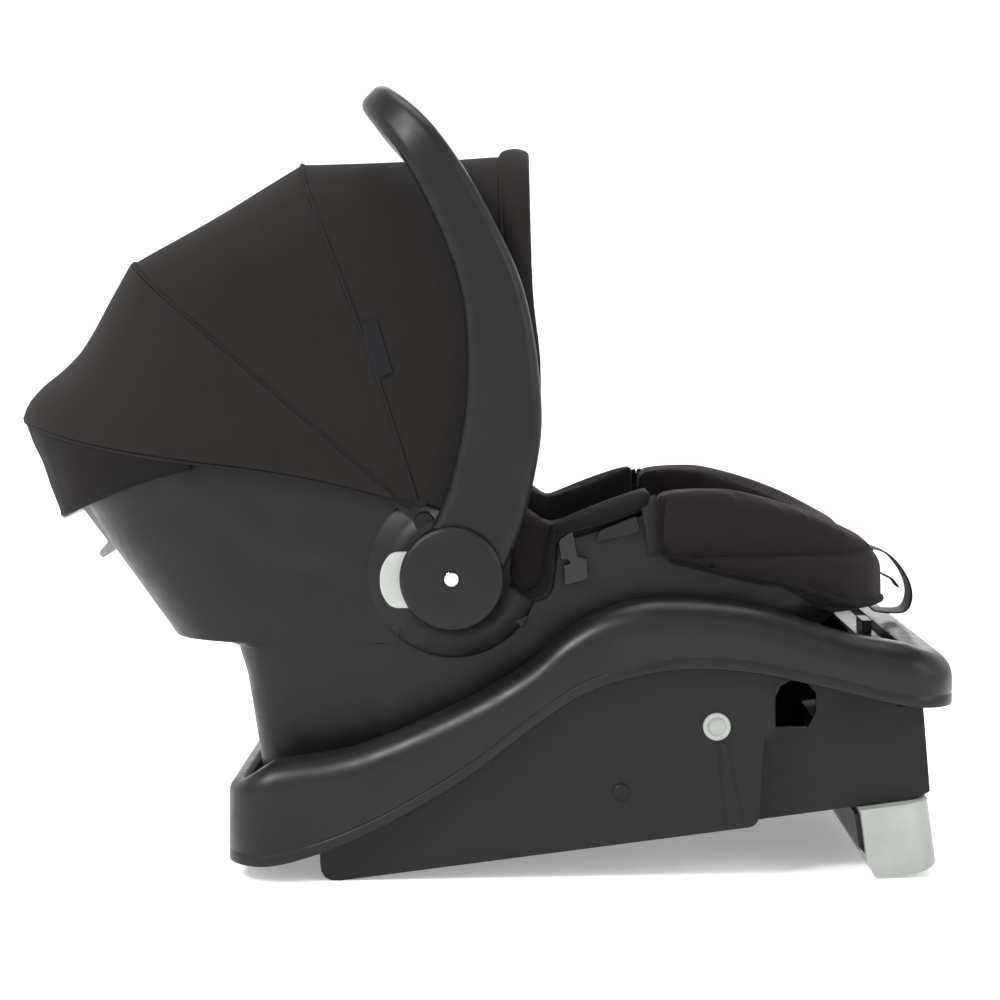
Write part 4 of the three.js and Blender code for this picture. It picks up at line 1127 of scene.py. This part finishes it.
def puffed(node, name, voxel=0.005, pressure=4.0, cap=0.006, body="carrier", smooth=2):
    """A sewn pad: the CAD solid's form, filled out by a short cloth simulation."""
    piece = copy_node(node, name)
    remesh = piece.modifiers.new("remesh", "REMESH")
    remesh.mode = "VOXEL"
    remesh.voxel_size = voxel
    apply_modifiers(piece)
    rest = np.array([v.co for v in piece.data.vertices])
    modifier = piece.modifiers.new("cloth", "CLOTH")
    settings = modifier.settings
    settings.quality = 5
    settings.mass = 0.25
    settings.tension_stiffness = 14
    settings.compression_stiffness = 14
    settings.bending_stiffness = 0.6
    settings.use_pressure = True
    settings.uniform_pressure_force = pressure
    settings.effector_weights.gravity = 0
    for number in range(1, SIM_FRAMES + 1):
        scene.frame_set(number)
    apply_modifiers(piece)
    scene.frame_set(1)
    moved = np.array([v.co for v in piece.data.vertices]) - rest
    length = np.linalg.norm(moved, axis=1, keepdims=True)
    moved *= np.minimum(1, cap / np.maximum(length, 1e-9))
    piece.data.vertices.foreach_set("co", (rest + moved).ravel())
    smoother = piece.modifiers.new("smooth", "SMOOTH")
    smoother.iterations = smooth
    finer = piece.modifiers.new("finer", "SUBSURF")
    finer.levels = finer.render_levels = 1
    apply_modifiers(piece)
    finish(piece, "pad_fabric", None, (node,), 80)
    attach(piece, body)
    return piece


foot_cover = puffed("foot_pad", "foot_pad_cover", 0.0045, 4, 0.005)
back_cover = puffed("back_cushion", "back_cushion_cover", 0.006, 4, 0.005)
seat_cover = puffed("seat_cushion", "seat_cushion_cover", 0.006, 4, 0.005)
wings = {
    side_name: puffed(f"side_wing_{side_name}", f"side_wing_{side_name}_cover", 0.0036, 3, 0.003)
    for side_name, _ in SIDES
}


def surface(piece):
    graph = bpy.context.evaluated_depsgraph_get()
    return BVHTree.FromObject(piece, graph)


def cast(tree, origin, direction, lift=0.0):
    hit, normal, _, _ = tree.ray_cast(Vector(origin), Vector(direction).normalized())
    return None if hit is None else hit + normal * lift


def crease(piece, level, x_from, depth=2.6, width=6.0):
    """A sewn line round a pad: the cloth is pulled in at one height."""
    for vertex in piece.data.vertices:
        x, z = vertex.co.x * 1000 - DATUM_X, vertex.co.z * 1000
        if x < x_from or abs(vertex.normal.z) > 0.7:
            continue
        pull = depth * math.exp(-(((z - level) / width) ** 2)) / 1000
        flat = Vector((vertex.normal.x, vertex.normal.y, 0))
        vertex.co -= flat * pull


crease(foot_cover, 248, 124)


def pad_seams():
    """The seam round the foot pad's outside, and its binding along the lower edge."""
    tree = surface(foot_cover)
    for name, level, radius in (
        ("foot_pad_seam", 248, 0.0011), ("foot_pad_piping", None, 0.0032),
    ):
        path = []
        for x, y, nx, ny in plan_points(250, corner=16, side=60, end=30):
            if x < 122:
                continue
            low = float(np.interp(x, [119, 160, 215, 262, 303], [247, 237, 226, 206, 206]))
            z = low if level is None else level
            origin = at(x + nx * 60, y + ny * 60, z)
            hit = cast(tree, origin, (-nx, -ny, 0), 0.0003)
            if hit is not None:
                path.append(hit)
        start = max(range(len(path)), key=lambda i: (path[i] - path[i - 1]).length)
        path = path[start:] + path[:start]
        tube(name, path, radius, "binding", "carrier")


pad_seams()


def side_piping(name, tree, points, radius, side):
    """A bound edge over a pad's side face, through (x, z) points."""
    path = []
    for p in Line(points, 60).samples:
        hit = cast(tree, at(p[0], side * 230, p[1]), (0, -side, 0), 0.0006)
        if hit is not None and (not path or (hit - path[-1]).length < 0.02):
            path.append(hit)
    if len(path) > 4:
        tube(name, path, radius, "binding", "carrier")


foot_tree = surface(foot_cover)
for side_name, side in SIDES:
    side_piping(f"foot_pad_edge_{side_name}", foot_tree,
                [(123, 290), (121.5, 272), (122, 256), (127, 248), (146, 243), (160, 240)],
                0.003, side)
    wing = wings[side_name]
    side_piping(f"side_wing_edge_{side_name}", surface(wing),
                [(40, 268), (37, 252), (35, 238), (30, 224), (22, 219), (14, 224), (9, 240)],
                0.0026, side)
    wing.data.materials.append(MATERIALS["binding"])
    for polygon in wing.data.polygons:
        if polygon.center.x * 1000 - DATUM_X > 40:
            polygon.material_index = 1

# ---- harness and straps --------------------------------------------------------------


def smooth_route(route, samples):
    points = [Vector(p) for p in route]
    out = []
    for i in range(samples + 1):
        t = i / samples * (len(points) - 1)
        k = min(int(t), len(points) - 2)
        w = t - k
        p0, p1 = points[max(k - 1, 0)], points[k]
        p2, p3 = points[k + 1], points[min(k + 2, len(points) - 1)]
        out.append(
            0.5 * (2 * p1 + (p2 - p0) * w + (2 * p0 - 5 * p1 + 4 * p2 - p3) * w * w
                   + (3 * p1 - p0 - 3 * p2 + p3) * w**3)
        )
    return out


def strap(name, route, across, width, hides, thickness=1.6, samples=60):
    """Webbing along a route: slightly crowned, with rolled edges and ribs along its length."""
    centre = smooth_route(route, samples)
    side = Vector(across).normalized()
    rings, uv = [], []
    run = 0.0
    for i, p in enumerate(centre):
        before, after = centre[max(i - 1, 0)], centre[min(i + 1, samples)]
        tangent = (after - before).normalized()
        up = tangent.cross(side).normalized()
        wide = up.cross(tangent).normalized()
        run += (p - centre[i - 1]).length if i else 0
        ring = []
        shares = [-1, -0.96, -0.5, 0, 0.5, 0.96, 1]
        for sign, order in ((1, shares), (-1, list(reversed(shares)))):
            for share in order:
                if sign < 0 and abs(share) == 1:
                    continue
                thin = 0.35 if abs(share) > 0.9 else 0.5
                lift = 0 if abs(share) == 1 else sign * thickness * thin
                q = p + wide * share * width / 2 + up * lift
                ring.append(at(*q))
                uv.append((share * width / 2000, run / 1000))
        rings.append(ring)
    piece = loft(name, rings, "webbing", "carrier", hides=hides, smooth=60, uv=uv)
    return piece


def over_pan(x, y, lift):
    return (x, y, PAN_LINE.height(x) + lift)


def flip(route, side):
    return [(x, side * y, z) for x, y, z in route]


SHOULDER_ROUTE = [
    over_pan(-238, 46, -20), over_pan(-238, 46, 8), over_pan(-228, 46, 27),
    over_pan(-180, 42, 27), over_pan(-110, 34, 28), over_pan(-50, 28, 44), (4, 25, 206),
    (26, 25, 220.5), (40, 25, 219.5),
]
LAP_ROUTE = [(35.2, 26, 204), (35.2, 52, 202), (22, 84, 184), (2, 108, 162), (-6, 120, 150)]
for side_name, side in SIDES:
    strap(f"shoulder_webbing_{side_name}", flip(SHOULDER_ROUTE, side), (0, 1, 0), 38,
          (f"shoulder_strap_{side_name}",))
    strap(f"lap_webbing_{side_name}", flip(LAP_ROUTE, side), (0, 0.25 * side, 1), 26,
          (f"lap_strap_{side_name}",))
strap("crotch_webbing", [over_pan(44, 0, -12), over_pan(44, 0, 14), (38, 0, 144), (32, 0, 148.5)],
      (0, 1, 0), 36, ("crotch_strap",), samples=20)
ADJUSTER_ROUTE = [
    (262, 0, 190), (262, 0, 220), (268, 0, 236), (289, 0, 237.5), (306, 0, 238), (322, 0, 231),
    (335, 0, 214), (339, 0, 198), (334, 0, 186), (320, 0, 184.5), (308, 0, 186),
]
strap("adjuster_webbing", ADJUSTER_ROUTE, (0, 1, 0), 38, ("adjuster_strap",), samples=80)

strap("adjuster_tail", [(300, 0, 233), (307, 0, 228), (310, 0, 221), (317, 0, 215),
                        (324, 0, 211.5), (329, 0, 205)], (0, 1, 0), 30, (), samples=30)

# ---- belt hooks and guides -----------------------------------------------------------

for side_name, side in SIDES:
    hook = rounded([(44, 258, 3), (55, 266, 3), (59, 246), (66, 244, 1), (67, 228, 3),
                    (49, 223, 3), (48, 238, 1), (53, 240, 1), (52, 243, 1), (46, 243, 1)], 4)
    side_plate(f"belt_hook_{side_name}_face", hook, side, 163.4, 170, "gloss_plastic",
               "carrier", 0.0009, hides=(f"belt_hook_{side_name}",))
    guide = rounded([(73, 256, 2), (75, 265, 6), (104, 277, 2), (107, 264, 1)], 4)
    side_plate(f"belt_guide_{side_name}_face", guide, side, 163.4, 168, "black_plastic",
               "carrier", 0.0009, hides=(f"belt_guide_{side_name}",))

# ---- small parts of the cover and tray -----------------------------------------------

TIE_ROUTE = [(112, 166.5, 291), (114, 169, 284), (117, 169.5, 268), (119, 169, 252),
             (120, 167, 246)]
for side_name, side in SIDES:
    strap(f"cover_tie_{side_name}", flip(TIE_ROUTE, side), (1, 0, 0.15), 13, (), 1.4, 20)
    for name, foot_x, rib_x in (("front", 171, 166), ("rear", 186, 172)):
        rib = [(rib_x - 0.7, 105), (rib_x + 0.7, 105), (foot_x + 0.7, 44), (foot_x - 0.7, 44)]
        side_plate(f"tray_rib_{name}_{side_name}", rib, side, 187, 189, "tray_plastic", "base",
                   0.0003)
    for name, rod in (("rear", (-128, 64)), ("front", (92, 68))):
        lathe(f"rod_end_{name}_{side_name}", rod,
              [(0, 187.5), (6.5, 187.5), (6.5, 190), (5.9, 190.7), (5, 191), (0, 191)],
              side, "tray_plastic", "base", segments=32)
    for name, gusset in (
        ("head", [(-83, 190), (-73, 196), (-78, 183)]),
        ("feet", [(10, 196), (22, 201), (17, 190)]),
    ):
        side_plate(f"hub_gusset_{name}_{side_name}", gusset, side, 163.2, 167, "shell_plastic",
                   "carrier", 0.0008)

# ---- floor ---------------------------------------------------------------------------

FLOOR_REACH, WALL_CURVE, WALL_TOP = 3.6, 1.8, 5.0
STAGE_TURNS = 96

stage_profile = [(0.002, 0), (1.2, 0), (FLOOR_REACH, 0)]
for i in range(1, 11):
    rise = math.pi / 2 * i / 10
    stage_profile.append(
        (FLOOR_REACH + WALL_CURVE * math.sin(rise), WALL_CURVE * (1 - math.cos(rise)))
    )
stage_profile.append((FLOOR_REACH + WALL_CURVE, WALL_TOP))
stage_rings = []
for i in range(STAGE_TURNS):
    turn = 2 * math.pi * i / STAGE_TURNS
    stage_rings.append([(r * math.cos(turn), r * math.sin(turn), z) for r, z in stage_profile])
stage_points = [p for ring in stage_rings for p in ring]
floor = make("floor", stage_points, grid_faces(STAGE_TURNS, len(stage_profile), True), "foam")
floor.data.flip_normals()
stage_shader = Shader("stage_white")
stage_shader.set(
    Base_Color=stage_shader.ramp(stage_shader.noise(3, 2), (0.9, 0.9, 0.9), (0.93, 0.93, 0.93))
)
stage_shader.bsdf.inputs["Roughness"].default_value = 0.9
stage_shader.bsdf.inputs["Emission Color"].default_value = (1, 1, 1, 1)
stage_shader.bsdf.inputs["Emission Strength"].default_value = STAGE_GLOW
floor.data.materials.clear()
floor.data.materials.append(stage_shader.material)
